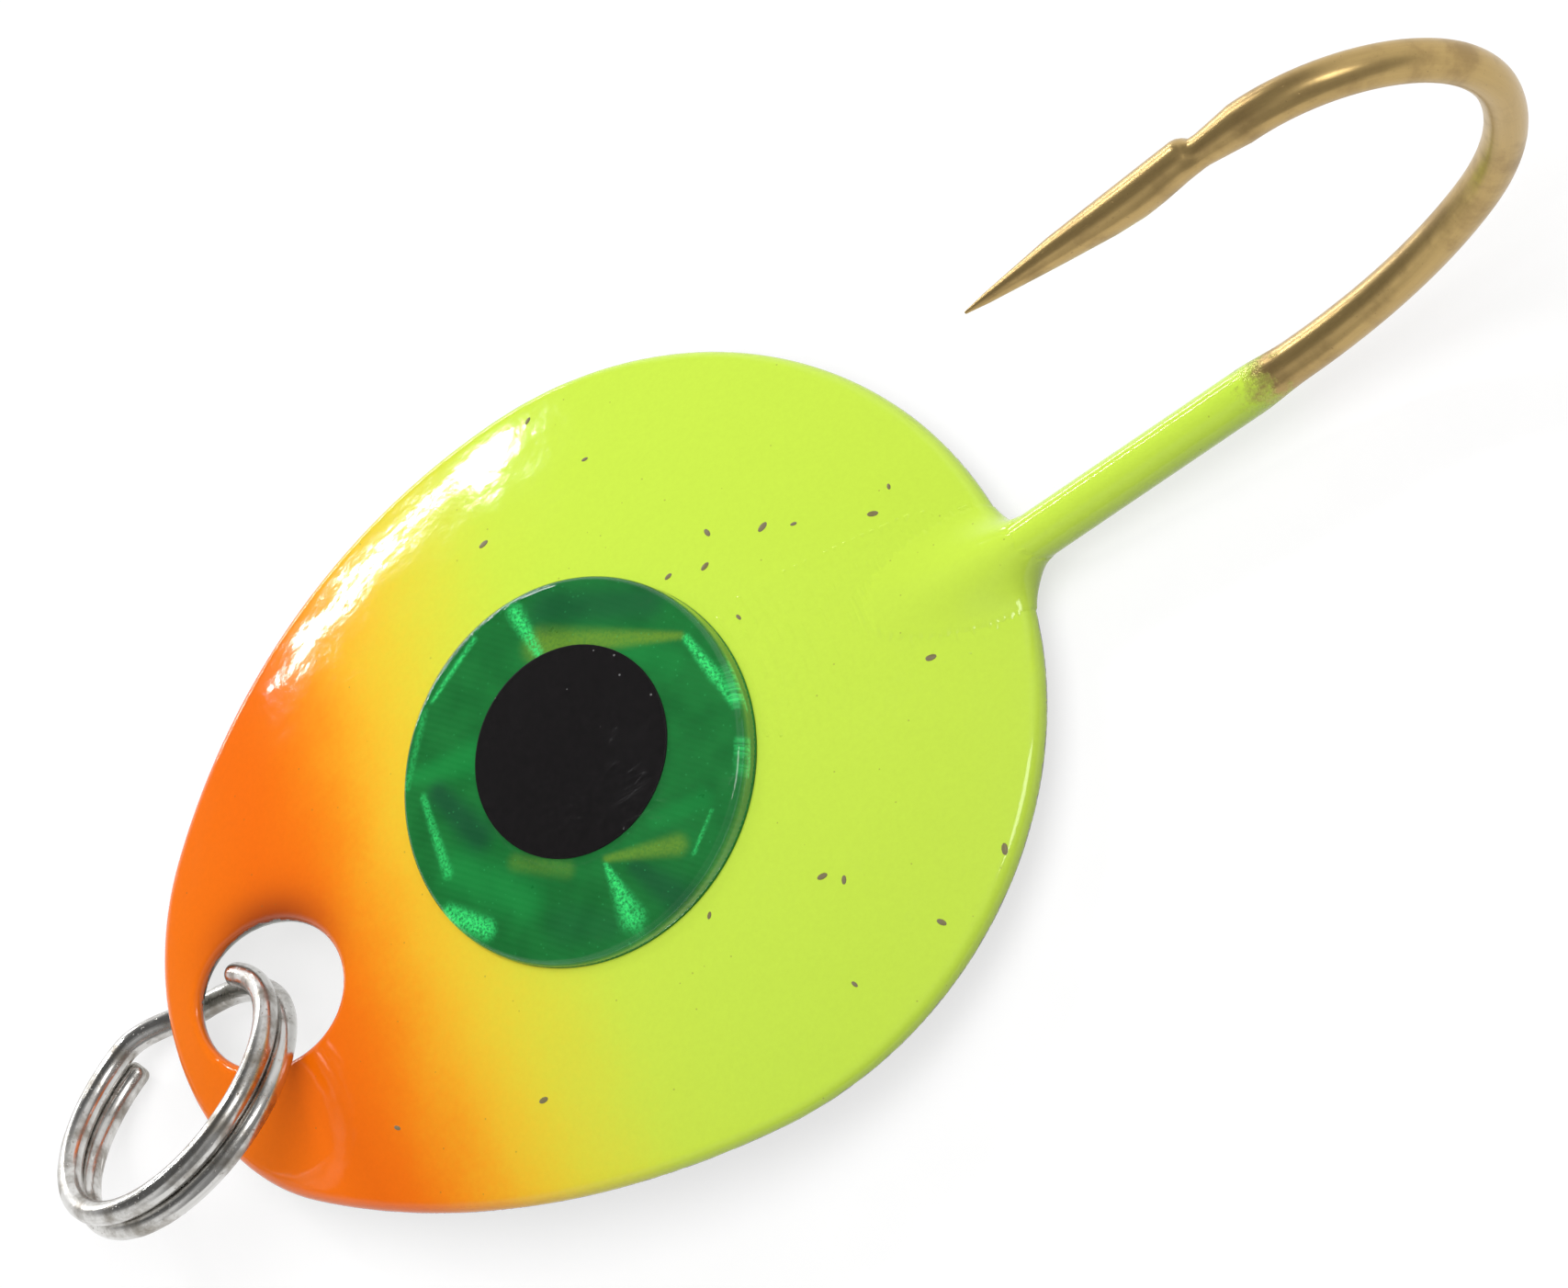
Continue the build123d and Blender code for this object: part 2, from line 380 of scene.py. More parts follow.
@shared("Orange Peel")
def orange_peel(name):
    """The slow waves and fine skin of sprayed lacquer."""
    tree, given, out = new_group(
        name, {"Place": (VECTOR, None), "Waves": (FLOAT, 1.3), "Skin": (FLOAT, 0.12)}, {"Height": FLOAT}
    )
    slow = noise(tree, given["Place"], given["Waves"], 1.5, 0.45)
    fine = noise(tree, given["Place"], 7.0, 2.0, 0.5)
    tree.links.new(calc(tree, "ADD", slow, times(tree, fine, given["Skin"])), out["Height"])
    return tree


@shared("Fine Scratches")
def fine_scratches(name):
    """Short hair-fine handling marks, as a mask."""
    tree, given, out = new_group(name, {"Place": (VECTOR, None), "Amount": (FLOAT, 0.5)}, {"Mask": FLOAT})
    masks = []
    for turn, stretch, scale in ((35.0, 0.05, 5.0), (-70.0, 0.06, 6.5)):
        sockets = {"Vector": given["Place"], "Rotation": (0, 0, radians(turn)), "Scale": (stretch, 1, 1)}
        turned = add(tree, "ShaderNodeMapping", sockets).outputs[0]
        lines = noise(tree, turned, scale, 1.0, 0.4)
        near = calc(tree, "ABSOLUTE", calc(tree, "SUBTRACT", lines, 0.5))
        thin = spread(tree, near, 0.0, 0.006, 1.0, 0.0)
        patch = spread(tree, noise(tree, given["Place"], 0.9, 2.0), 0.55, 0.68)
        masks.append(times(tree, thin, patch))
    both = calc(tree, "MAXIMUM", masks[0], masks[1])
    tree.links.new(times(tree, both, given["Amount"]), out["Mask"])
    return tree


@shared("Drawn Metal")
def drawn_metal(name):
    """Metal that was drawn or rolled: fine lines along it, patches of tarnish and small pits."""
    tree, given, out = new_group(
        name,
        {
            "Place": (VECTOR, None),
            "Line Scale": (FLOAT, 40.0),
            "Patch Scale": (FLOAT, 1.4),
            "Patches": (FLOAT, 0.5),
        },
        {"Tarnish": FLOAT, "Lines": FLOAT, "Height": FLOAT},
    )
    stretched = vector(tree, "MULTIPLY", given["Place"], (0.06, 1.0, 1.0))
    lines = noise(tree, stretched, given["Line Scale"], 3.0, 0.6)
    patches = spread(tree, noise(tree, given["Place"], given["Patch Scale"], 5.0, 0.62), 0.42, 0.70)
    pits = spread(tree, noise(tree, given["Place"], 22.0, 2.0, 0.5), 0.66, 0.76)
    tarnish = times(tree, calc(tree, "MAXIMUM", patches, pits), given["Patches"], clamp=True)
    tree.links.new(tarnish, out["Tarnish"])
    tree.links.new(lines, out["Lines"])
    tree.links.new(calc(tree, "SUBTRACT", lines, times(tree, pits, 1.5)), out["Height"])
    return tree


def seen_straight(tree, path):
    """One for what the camera sees, directly or through something clear, and nought for bounced light."""
    bounced = calc(tree, "ADD", path["Diffuse Depth"], path["Glossy Depth"])
    through = times(tree, path["Is Transmission Ray"], calc(tree, "LESS_THAN", bounced, 0.5))
    return calc(tree, "MAXIMUM", path["Is Camera Ray"], through)


@shared("Specks")
def specks(name):
    """Tiny bright or dark points, as a mask."""
    tree, given, out = new_group(
        name, {"Place": (VECTOR, None), "Scale": (FLOAT, 12.0), "Size": (FLOAT, 0.12)}, {"Mask": FLOAT}
    )
    cells = add(tree, "ShaderNodeTexVoronoi", {"Vector": given["Place"], "Scale": given["Scale"]})
    pick = parts_of(tree, cells.outputs["Color"])[0]
    chosen = calc(tree, "GREATER_THAN", pick, 0.72)
    inside = calc(tree, "LESS_THAN", cells.outputs["Distance"], given["Size"])
    tree.links.new(times(tree, chosen, inside), out["Mask"])
    return tree


# ---------------------------------------------------------------- materials


def new_material(name):
    """An empty material, with its tree, its Principled shader and its output."""
    made = bpy.data.materials.new(name)
    made.use_nodes = True
    made.node_tree.nodes.clear()
    shader = add(made.node_tree, "ShaderNodeBsdfPrincipled")
    end = add(made.node_tree, "ShaderNodeOutputMaterial", {0: shader.outputs[0]})
    return made, made.node_tree, shader, end


def bump(tree, height, distance, normal=None):
    sockets = {"Strength": 1.0, "Distance": distance, "Height": height}
    if normal is not None:
        sockets["Normal"] = normal
    return add(tree, "ShaderNodeBump", sockets).outputs[0]


def painted_metal(name, finish, metal, dark, rough, metal_place, line_scale, patches, soft=0.06, shine=1.0):
    """Sprayed lacquer over bare metal; paint says where it lies, and painted shade darkens the dip beside the
    line hole.
    """
    made, tree, shader, _ = new_material(name)
    place = lure_place(tree)
    under = metal_place(tree)
    peel = use(tree, orange_peel(), Place=place)["Height"]
    worn = use(tree, fine_scratches(), Place=place, Amount=0.5)["Mask"]
    body = use(tree, drawn_metal(), Place=under, Line_Scale=line_scale, Patches=patches)
    fade = use(tree, sprayed_fade(finish), Place=place)["Colour"]
    # painted shade: the lacquer darkens to red-brown in the dip beside the line hole
    thick = mix(tree, times(tree, attribute(tree, "painted_hole_shade"), 0.85), fade, finish.painted_hole_shade)
    grime = use(tree, specks(), Place=place, Scale=5.5, Size=0.07)["Mask"]
    lacquer = mix(tree, times(tree, grime, 0.35), thick, shade(120, 110, 60))
    edge = calc(tree, "SUBTRACT", noise(tree, place, 4.5, 5.0, 0.72), 0.5)
    ragged = calc(tree, "ADD", attribute(tree, "paint"), times(tree, edge, 0.75))
    cover = spread(tree, ragged, 0.5 - soft, 0.5 + soft)
    uncovered = calc(tree, "SUBTRACT", 1.0, cover)
    bare = mix(tree, body["Tarnish"], metal, dark)
    bare = mix(tree, times(tree, body["Lines"], 0.30), bare, dark)
    plug(tree, shader, Base_Color=mix(tree, cover, bare, lacquer), Metallic=times(tree, uncovered, shine))
    metal_rough = calc(tree, "ADD", rough, times(tree, body["Tarnish"], 0.22))
    paint_rough = calc(tree, "ADD", 0.085, times(tree, worn, 0.30))
    both = add(tree, "ShaderNodeMix", {0: cover, 2: metal_rough, 3: paint_rough}).outputs[0]
    waves = bump(tree, times(tree, peel, cover), 0.000015)
    lines = bump(tree, times(tree, body["Height"], uncovered), 0.0000012, waves)
    plug(tree, shader, Roughness=both, Normal=bump(tree, cover, 0.000012, lines))
    return made


def wire_place(tree):
    """Millimetres along and round a wire."""
    return scaled(tree, attribute(tree, "wire_place", "Vector"), 1 / MM)


def spring_steel(finish):
    made, tree, shader, _ = new_material("Ring Steel")
    place = wire_place(tree)
    body = use(tree, drawn_metal(), Place=place, Line_Scale=26.0, Patch_Scale=2.1, Patches=0.75)
    worn = use(tree, fine_scratches(), Place=place, Amount=1.0)["Mask"]
    tint = mix(tree, body["Tarnish"], finish.steel, shade(114, 104, 86))
    tint = mix(tree, times(tree, body["Lines"], 0.35), tint, shade(96, 92, 88))
    plug(tree, shader, Base_Color=mix(tree, worn, tint, shade(230, 228, 224)), Metallic=1.0)
    plug(tree, shader, Roughness=calc(tree, "ADD", 0.16, times(tree, body["Tarnish"], 0.26)))
    plug(tree, shader, Normal=bump(tree, body["Height"], 0.0000022))
    return made


def green_foil(finish):
    """Pressed foil: the mesh's points store its facets as glint (painted glints where facets catch the
    light), yellow, pale and deep.
    """
    made, tree, shader, _ = new_material("Eye Foil")
    place = lure_place(tree)
    ruled = vector(tree, "MULTIPLY", place, (1.0, 1.0, 0.0))
    sockets = {"Vector": ruled, "Scale": 5.2, "Distortion": 0.6, "Detail": 1.0}
    ruling = add(tree, "ShaderNodeTexWave", sockets, bands_direction="DIAGONAL").outputs[1]
    sparkle = noise(tree, place, 26.0, 3.0, 0.75)
    cloudy = noise(tree, place, 1.9, 4.0, 0.6)
    # painted glints: bright streaks where the foil's facets catch the light
    glint = times(tree, attribute(tree, "glint"), spread(tree, sparkle, 0.34, 0.62, 0.15, 1.2), clamp=True)
    yellow = times(tree, attribute(tree, "yellow"), spread(tree, sparkle, 0.25, 0.7, 0.6, 1.1), clamp=True)
    base = mix(tree, spread(tree, cloudy, 0.3, 0.7), finish.foil, shade(0, 130, 50))
    base = mix(tree, times(tree, ruling, 0.05), base, shade(6, 160, 74))
    base = mix(tree, attribute(tree, "deep"), base, shade(0, 84, 50))
    base = mix(tree, attribute(tree, "pale"), base, shade(8, 168, 72))
    base = mix(tree, yellow, base, finish.foil_yellow)
    base = mix(tree, glint, base, finish.foil_painted_glint)
    fine = use(tree, specks(), Place=place, Scale=13.0, Size=0.16)["Mask"]
    base = mix(tree, times(tree, fine, 0.30), base, shade(60, 200, 110))
    plug(tree, shader, Base_Color=base, Metallic=0.35)
    plug(tree, shader, Roughness=spread(tree, cloudy, 0.2, 0.8, 0.26, 0.44))
    plug(tree, shader, Normal=bump(tree, calc(tree, "ADD", ruling, sparkle), 0.0000016))
    return made


def eye_black(finish):
    made, tree, shader, _ = new_material("Eye Black")
    place = lure_place(tree)
    fine = noise(tree, place, 16.0, 4.0, 0.7)
    ink = mix(tree, spread(tree, fine, 0.35, 0.7), finish.pupil, shade(16, 12, 14))
    dust = use(tree, specks(), Place=place, Scale=4.2, Size=0.06)["Mask"]
    ink = mix(tree, times(tree, dust, 0.6), ink, shade(150, 150, 150))
    plug(tree, shader, Base_Color=ink, Specular_IOR_Level=0.15)
    plug(tree, shader, Roughness=spread(tree, fine, 0.2, 0.8, 0.42, 0.6))
    plug(tree, shader, Normal=bump(tree, fine, 0.0000012))
    return made


def clear_cover():
    """Clear resin to the eye; light on its way to the foil beneath passes straight through."""
    made, tree, shader, end = new_material("Eye Clear")
    place = lure_place(tree)
    worn = use(tree, fine_scratches(), Place=place, Amount=1.0)["Mask"]
    peel = use(tree, orange_peel(), Place=place, Waves=0.7, Skin=0.05)["Height"]
    plug(tree, shader, Base_Color=(1.0, 1.0, 1.0), Transmission_Weight=1.0, IOR=1.47)
    plug(tree, shader, Roughness=calc(tree, "ADD", 0.02, times(tree, worn, 0.25)))
    plug(tree, shader, Normal=bump(tree, peel, 0.000004))
    through = add(tree, "ShaderNodeBsdfTransparent")
    path = add(tree, "ShaderNodeLightPath").outputs
    seen = calc(tree, "MAXIMUM", path["Is Camera Ray"], path["Is Transmission Ray"])
    both = add(tree, "ShaderNodeMixShader", {0: seen, 1: through.outputs[0], 2: shader.outputs[0]})
    tree.links.new(both.outputs[0], end.inputs[0])
    return made


def chip_brown(finish):
    made, tree, shader, _ = new_material("Paint Chip")
    place = lure_place(tree)
    tone = noise(tree, place, 6.0, 3.0, 0.6)
    plug(tree, shader, Base_Color=mix(tree, spread(tree, tone, 0.3, 0.7), finish.chip, shade(128, 118, 96)))
    plug(tree, shader, Roughness=spread(tree, tone, 0.3, 0.7, 0.35, 0.6))
    plug(tree, shader, Normal=bump(tree, noise(tree, place, 20.0), 0.000003))
    return made


# ---------------------------------------------------------------- mesh helpers


def place_in_scene(name, data):
    made = bpy.data.objects.new(name, data)
    bpy.context.scene.collection.objects.link(made)
    return made


def new_piece(name, points, faces, material, values=None):
    """A closed, smooth mesh object from points in metres; values are kept on its points."""
    mesh = bpy.data.meshes.new(name)
    mesh.from_pydata(np.asarray(points).tolist(), [], faces if isinstance(faces, list) else faces.tolist())
    give_values(mesh, values or {})
    mesh.polygons.foreach_set("use_smooth", np.ones(len(mesh.polygons), bool))
    mesh.materials.append(material)
    mesh.validate()
    mesh.update()
    return place_in_scene(name, mesh)


def step_towards(field, points):
    """Moves points onto the surface where the field is nought."""
    small, longest = 0.004, 0.05
    value = field(*points.T)
    slope = np.stack(
        [field(*(points + s).T) - field(*(points - s).T) for s in np.eye(3) * small], axis=1
    ) / (2 * small)
    size = np.maximum((slope**2).sum(1), 0.05)
    move = value[:, None] * slope / size[:, None]
    far = np.maximum(np.linalg.norm(move, axis=1, keepdims=True) / longest, 1)
    return points - move / far


def fill_diagonals(value):
    """Fills grid corners that meet only across a diagonal, so that each edge of the net gets two faces."""
    halves = slice(None, -1), slice(1, None)
    for _ in range(8):
        mended = 0
        for axis in range(3):
            corners = []
            for a, b in ((0, 0), (1, 0), (1, 1), (0, 1)):
                cut = [slice(None)] * 3
                cut[(axis + 1) % 3], cut[(axis + 2) % 3] = halves[a], halves[b]
                corners.append(value[tuple(cut)])
            signs = [corner < 0 for corner in corners]
            crossed = (signs[0] == signs[2]) & (signs[1] == signs[3]) & (signs[0] != signs[1])
            mended += crossed.sum()
            for corner in corners:
                corner[crossed & (corner >= 0)] = -0.0001
        if not mended:
            return


def skin(field, low, high, step, rounds=5):
    """A closed net of four-sided faces over the surface where a distance field is nought, in millimetres."""
    counts = [int((b - a) / step) + 2 for a, b in zip(low, high)]
    axes = [a + step * np.arange(n) for a, n in zip(low, counts)]
    value = field(*np.meshgrid(*axes, indexing="ij"))
    fill_diagonals(value)
    inside = value < 0
    cells = np.array(counts) - 1
    total = np.zeros((cells.prod(), 3))
    hits = np.zeros(cells.prod())
    quads = []
    for axis in range(3):
        second, third = (axis + 1) % 3, (axis + 2) % 3
        lower = [slice(None)] * 3
        upper = [slice(None)] * 3
        lower[axis], upper[axis] = slice(None, -1), slice(1, None)
        a, b = value[tuple(lower)], value[tuple(upper)]
        starts = np.argwhere(inside[tuple(lower)] != inside[tuple(upper)])
        ends = tuple(starts.T)
        cut = a[ends] / (a[ends] - b[ends])
        spots = starts.astype(float)
        spots[:, axis] += cut
        around = []
        for back_second, back_third in ((1, 1), (0, 1), (0, 0), (1, 0)):
            cell = starts.copy()
            cell[:, second] -= back_second
            cell[:, third] -= back_third
            flat = np.ravel_multi_index(cell.T, cells)
            np.add.at(total, flat, spots)
            np.add.at(hits, flat, 1)
            around.append(flat)
        around = np.stack(around, 1)
        leaving = inside[tuple(lower)][ends]
        quads.append(np.where(leaving[:, None], around, around[:, ::-1]))
    used = np.flatnonzero(hits)
    number = np.zeros(len(hits), int)
    number[used] = np.arange(len(used))
    faces = number[np.concatenate(quads)]
    points = np.array(low) + step * total[used] / hits[used, None]
    pairs = np.concatenate([faces[:, [0, 1]], faces[:, [1, 2]], faces[:, [2, 3]], faces[:, [3, 0]]])
    for _ in range(rounds):
        gather = np.zeros_like(points)
        share = np.zeros(len(points))
        np.add.at(gather, pairs[:, 0], points[pairs[:, 1]])
        np.add.at(share, pairs[:, 0], 1)
        points = 0.5 * points + 0.5 * gather / share[:, None]
        points = step_towards(field, step_towards(field, points))
    return points, faces


def round_both(a, b, size):
    """Where both solids are, with the edge between them rounded."""
    a, b = a + size, b + size
    return np.minimum(np.maximum(a, b), 0) + np.hypot(np.maximum(a, 0), np.maximum(b, 0)) - size


def melt(a, b, reach):
    """Either solid, with a smooth fillet where they meet."""
    part = np.clip(0.5 + 0.5 * (b - a) / reach, 0, 1)
    return b + (a - b) * part - reach * part * (1 - part)


def ramp(value, low, high):
    part = np.clip((value - low) / (high - low), 0, 1)
    return part * part * (3 - 2 * part)


# ------------------------------------------------ the blade's shape, in millimetres from the crown


def mm(group):
    """A group's lengths in millimetres, by name."""
    found = {}
    for key in group.bl_rna.properties.keys():
        rule = group.bl_rna.properties[key]
        if rule.type == "FLOAT" and not getattr(rule, "is_array", False):
            found[key] = getattr(group, key) * (1000 if rule.unit == "LENGTH" else 1)
    return found


def outline(blade, x, y):
    """Distance outside the egg-shaped outline."""
    wide, tip = np.array((blade["wide_place"], 0.0)), np.array((blade["tip_place"], 0.0))
    to_wide, to_tip = blade["flank"] - blade["wide_round"], blade["flank"] - blade["tip_round"]
    middle_x = (to_tip**2 - to_wide**2 + wide[0] ** 2 - tip[0] ** 2) / (2 * (wide[0] - tip[0]))
    middle = np.array((middle_x, -sqrt(to_wide**2 - (middle_x - wide[0]) ** 2)))
    up = np.abs(y)
    across, above = x - middle[0], up - middle[1]
    flank = np.hypot(across, above) - blade["flank"]
    in_wide = (wide[0] - middle[0]) * above - (wide[1] - middle[1]) * across < 0
    in_tip = (tip[0] - middle[0]) * above - (tip[1] - middle[1]) * across > 0
    wide_end = np.hypot(x - wide[0], up) - blade["wide_round"]
    tip_end = np.hypot(x - tip[0], up) - blade["tip_round"]
    return np.where(in_wide, wide_end, np.where(in_tip, tip_end, flank))


def hole(blade, x, y):
    """Distance outside the turned oval."""
    turn = blade["hole_turn"]
    dx, dy = x - blade["hole_place"], y - HOLE_ASIDE
    u, v = dx * cos(turn) + dy * sin(turn), -dx * sin(turn) + dy * cos(turn)
    near = np.hypot(u / blade["hole_long"], v / blade["hole_short"])
    steep = np.hypot(u / blade["hole_long"] ** 2, v / blade["hole_short"] ** 2)
    return near * (near - 1) / np.maximum(steep, 1e-6)


def dip(blade, x, y):
    """How strongly the sheet dips beside the hole, on the side towards the eye."""
    dx, dy = x - blade["hole_place"], y - HOLE_ASIDE
    facing = np.clip((0.5 * dx + 0.87 * dy) / np.maximum(np.hypot(dx, dy), 1e-6), 0, 1)
    return facing**1.5 * np.exp(-((np.maximum(hole(blade, x, y), 0) / 0.55) ** 2))


def height(blade, x, y, z):
    """Height above the middle of the sheet."""
    return np.sqrt(x * x + y * y + (z + blade["dome"]) ** 2) - (blade["dome"] - blade["sheet"] / 2)


def sheet_field(blade, x, y, z, cut):
    """Distance outside the sheet, with an edge along its cut line."""
    return round_both(np.abs(height(blade, x, y, z)) - blade["sheet"] / 2, cut, blade["edge_round"])


def notch(blade, joint, x, y):
    """Distance outside the notch."""
    rim = blade["wide_place"] + blade["wide_round"]
    inner = rim - joint["notch_deep"] + joint["notch_half"]
    return np.hypot(np.minimum(x - inner, 0), y) - joint["notch_half"]


def shank_line(blade, hook):
    """Start of the wire, its direction, and the rim's place, in the plane of the hook."""
    rim = blade["wide_place"] + blade["wide_round"]
    run = np.array((cos(hook["shank_rise"]), sin(hook["shank_rise"])))
    start = np.array((rim, -hook["shank_drop"])) - hook["shank_in"] * run
    return start, run, rim


def to_frame(points):
    return np.asarray(points) * MM + np.array(CROWN)


# ---------------------------------------------------------------- wires, by Geometry Nodes


@shared("Swept Wire")
def wire_tree(name):
    """Sweeps a round wire along a curve and keeps each point's place along and round the wire."""
    tree, given, out = new_group(
        name,
        {
            "Geometry": ("NodeSocketGeometry", None),
            "Wire Radius": (FLOAT, 0.0003),
            "Sides": ("NodeSocketInt", 32),
            "Finish": ("NodeSocketMaterial", None),
        },
        {"Geometry": "NodeSocketGeometry"},
        "GeometryNodeTree",
    )
    tree.is_modifier = True

    def keep(geometry, name, value, kind="FLOAT"):
        """Stores a value on each point."""
        sockets = {"Geometry": geometry, "Name": name, "Value": value}
        made = add(tree, "GeometryNodeStoreNamedAttribute", sockets, data_type=kind, domain="POINT")
        return made.outputs[0]

    along = add(tree, "GeometryNodeSplineParameter").outputs["Length"]
    relative = add(tree, "GeometryNodeInputRadius").outputs[0]
    thick = times(tree, relative, given["Wire Radius"])
    kept = keep(keep(given["Geometry"], "wire_along", along), "wire_thick", thick)
    sockets = {"Resolution": given["Sides"], "Radius": 1.0}
    loop = add(tree, "GeometryNodeCurvePrimitiveCircle", sockets, mode="RADIUS").outputs[0]
    around = keep(loop, "wire_round", add(tree, "GeometryNodeInputPosition").outputs[0], "FLOAT_VECTOR")
    sockets = {"Curve": kept, "Profile Curve": around, "Scale": thick, "Fill Caps": True}
    swept = add(tree, "GeometryNodeCurveToMesh", sockets).outputs[0]
    read = {
        key: add(tree, "GeometryNodeInputNamedAttribute", {"Name": key}, data_type=kind).outputs[0]
        for key, kind in (("wire_along", "FLOAT"), ("wire_thick", "FLOAT"), ("wire_round", "FLOAT_VECTOR"))
    }
    sides = parts_of(tree, read["wire_round"])
    straight = add(
        tree, "ShaderNodeCombineXYZ",
        {
            0: read["wire_along"],
            1: times(tree, sides[0], read["wire_thick"]),
            2: times(tree, sides[1], read["wire_thick"]),
        },
    ).outputs[0]
    placed = keep(swept, "wire_place", straight, "FLOAT_VECTOR")
    smooth = add(tree, "GeometryNodeSetShadeSmooth", {"Geometry": placed, "Shade Smooth": True})
    real = add(tree, "GeometryNodeRealizeInstances", {"Geometry": smooth.outputs[0]})
    coated = add(tree, "GeometryNodeSetMaterial", {"Geometry": real.outputs[0], "Material": given["Finish"]})
    tree.links.new(coated.outputs[0], out["Geometry"])
    return tree


def nodes_result(source, tree, wanted, name):
    """What a geometry tree makes of an object, as a plain mesh object; the source goes."""
    nodes = source.modifiers.new(tree.name, "NODES")
    nodes.node_group = tree
    for socket in tree.interface.items_tree:
        if socket.item_type == "SOCKET" and socket.in_out == "INPUT" and socket.name in wanted:
            nodes[socket.identifier] = wanted[socket.name]
    bpy.context.view_layer.update()
    evaluated = source.evaluated_get(bpy.context.evaluated_depsgraph_get())
    mesh = bpy.data.meshes.new_from_object(evaluated)
    bpy.data.objects.remove(source)
    mesh.name = name
    return place_in_scene(name, mesh)


def swept_wire(name, points, radii, wire_radius, sides, material):
    """A wire along points in metres; radii are shares of the wire's own radius."""
    curve = bpy.data.curves.new(name + "_line", "CURVE")
    curve.dimensions = "3D"
    curve.twist_mode = "MINIMUM"
    line = curve.splines.new("POLY")
    line.points.add(len(points) - 1)
    for spot, place, radius in zip(line.points, points, radii):
        spot.co = (*place, 1.0)
        spot.radius = radius
    holder = place_in_scene(name + "_line", curve)
    wanted = {"Wire Radius": wire_radius, "Sides": sides, "Finish": material}
    return nodes_result(holder, wire_tree(), wanted, name)


def end_round(along, whole, size):
    """Share of full radius near a wire's cut ends."""
    into = np.minimum(np.minimum(along, whole - along), size)
    return 1 - 0.55 * (1 - np.sqrt(np.clip(1 - (1 - into / size) ** 2, 0, 1)))


def give_values(mesh, values):
    """Keeps a number on each point, under each name."""
    for key, numbers in values.items():
        mesh.attributes.new(key, "FLOAT", "POINT").data.foreach_set("value", np.asarray(numbers, np.float32))


def vectors_of(piece, name):
    """A vector from each point of a mesh, by its name there."""
    flat = np.empty(len(piece.data.vertices) * 3, np.float32)
    piece.data.attributes[name].data.foreach_get("vector", flat)
    return flat.reshape(-1, 3).astype(float)


# ---------------------------------------------------------------- the pieces


class LURE_OT_blade(bpy.types.Operator):
    """Build the domed, painted sheet with its line hole and notch"""

    bl_idname = "lure.blade"
    bl_label = "Blade"

    def execute(self, context):
        scene = context.scene
        blade, joint = mm(scene.lure_blade), mm(scene.lure_joint)

        def cut(x, y):
            openings = np.minimum(hole(blade, x, y), notch(blade, joint, x, y))
            return np.maximum(outline(blade, x, y), -openings)

        def field(x, y, z):
            return sheet_field(blade, x, y, z + blade["lip"] * dip(blade, x, y), cut(x, y))

        reach = blade["wide_place"] + blade["wide_round"]
        half = blade["wide_round"]
        room, deep = 0.2, 2.0  # space round the sheet, and its reach below the crown
        low = (blade["tip_place"] - blade["tip_round"] - room, -half - room, -deep)
        points, faces = skin(field, low, (reach + room, half + room, room), blade["net"])
        x, y, z = points.T
        side = height(blade, x, y, z) / (blade["sheet"] / 2)
        rim = -outline(blade, x, y)
        paint = np.clip(0.5 + (side + 0.25) * 0.6, 0, 1)
        haze = 0.46 * np.exp(-np.maximum(rim, 0) / 0.5)
        # painted shade in the dip beside the hole, strongest near its edge on the side towards the eye
        painted_hole_shade = dip(blade, x, y) * np.exp(-((np.maximum(hole(blade, x, y), 0) / 0.42) ** 2))
        finish, dull = scene.lure_finish, shade(104, 100, 92)
        material = painted_metal("Blade Paint", finish, finish.nickel, dull, 0.30, lure_place, 30.0, 0.45)
        values = {"paint": np.maximum(paint, haze), "painted_hole_shade": painted_hole_shade}
        piece = new_piece("blade_sheet", to_frame(points), faces, material, values)
        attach(piece, "lure")
        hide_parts("blade")
        return {"FINISHED"}


class LURE_OT_joint(bpy.types.Operator):
    """Build the solder in the notch and behind it, with the paint's fillets round the shank"""

    bl_idname = "lure.joint"
    bl_label = "Soldered joint"

    def execute(self, context):
        scene = context.scene
        blade, joint, hook = mm(scene.lure_blade), mm(scene.lure_joint), mm(scene.lure_hook)
        start, run, rim = shank_line(blade, hook)
        under_wire = 0.08  # solder below the wire
        bead_melt = 0.16  # reach of the fillet round the bead
        sunk = 0.004  # how far the joint lies below the sheet and the wire, so that only its fillets show
        border = 0.0002  # thinnest fillet that is kept
        in_notch = 0.14  # how far round the notch the joint goes on
        coated = hook["wire"] / 2 + hook["paint_film"]
        wire_drop = start[1] - hook["wire"] / 2
        base = wire_drop - under_wire
        bead_from, bead_to = rim - hook["shank_in"] - joint["bead_lip"], rim - joint["rim_gap"]
        wide = joint["bead_wide"] / 2

        def shank(x, y, z):
            dx, dz = x - start[0], z - start[1]
            along = np.maximum(dx * run[0] + dz * run[1], 0)
            return np.sqrt((dx - along * run[0]) ** 2 + (dz - along * run[1]) ** 2 + y * y) - coated

        def field(x, y, z):
            sheet = sheet_field(blade, x, y, z, outline(blade, x, y))
            wire = shank(x, y, z)
            middle = np.clip(x, bead_from + wide, bead_to - wide)
            block = round_both(np.hypot(x - middle, y) - wide, base - z, joint["bead_round"])
            block = np.maximum(block, height(blade, x, y, z))
            whole = melt(melt(sheet, wire, joint["fillet"]), block, bead_melt)
            filled = np.maximum(notch(blade, joint, x, y) - in_notch, x - rim)
            near = np.minimum(border - (np.minimum(sheet, wire) - whole), filled)
            return np.maximum(np.maximum(whole - sunk, 0.5 * near), base - z)

        low, high = (bead_from - 0.3, -wide - 0.5, base - 0.2), (rim + 1.3, wide + 0.5, 0.0)
        points, faces = skin(field, low, high, joint["net"], rounds=3)
        x, y, z = points.T
        above = height(blade, x, y, z)
        paint = np.clip(0.5 + np.maximum(above + 0.03, (x - rim + 0.25) * 0.8) * 2.2, 0, 1)
        finish, dull = scene.lure_finish, shade(92, 88, 76)
        material = painted_metal("Solder", finish, finish.solder, dull, 0.24, lure_place, 3.0, 0.6)
        values = {"paint": paint, "painted_hole_shade": np.zeros(len(points))}
        piece = new_piece("solder_fillet", to_frame(points), faces, material, values)
        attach(piece, "lure")
        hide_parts("solder_joint")
        return {"FINISHED"}


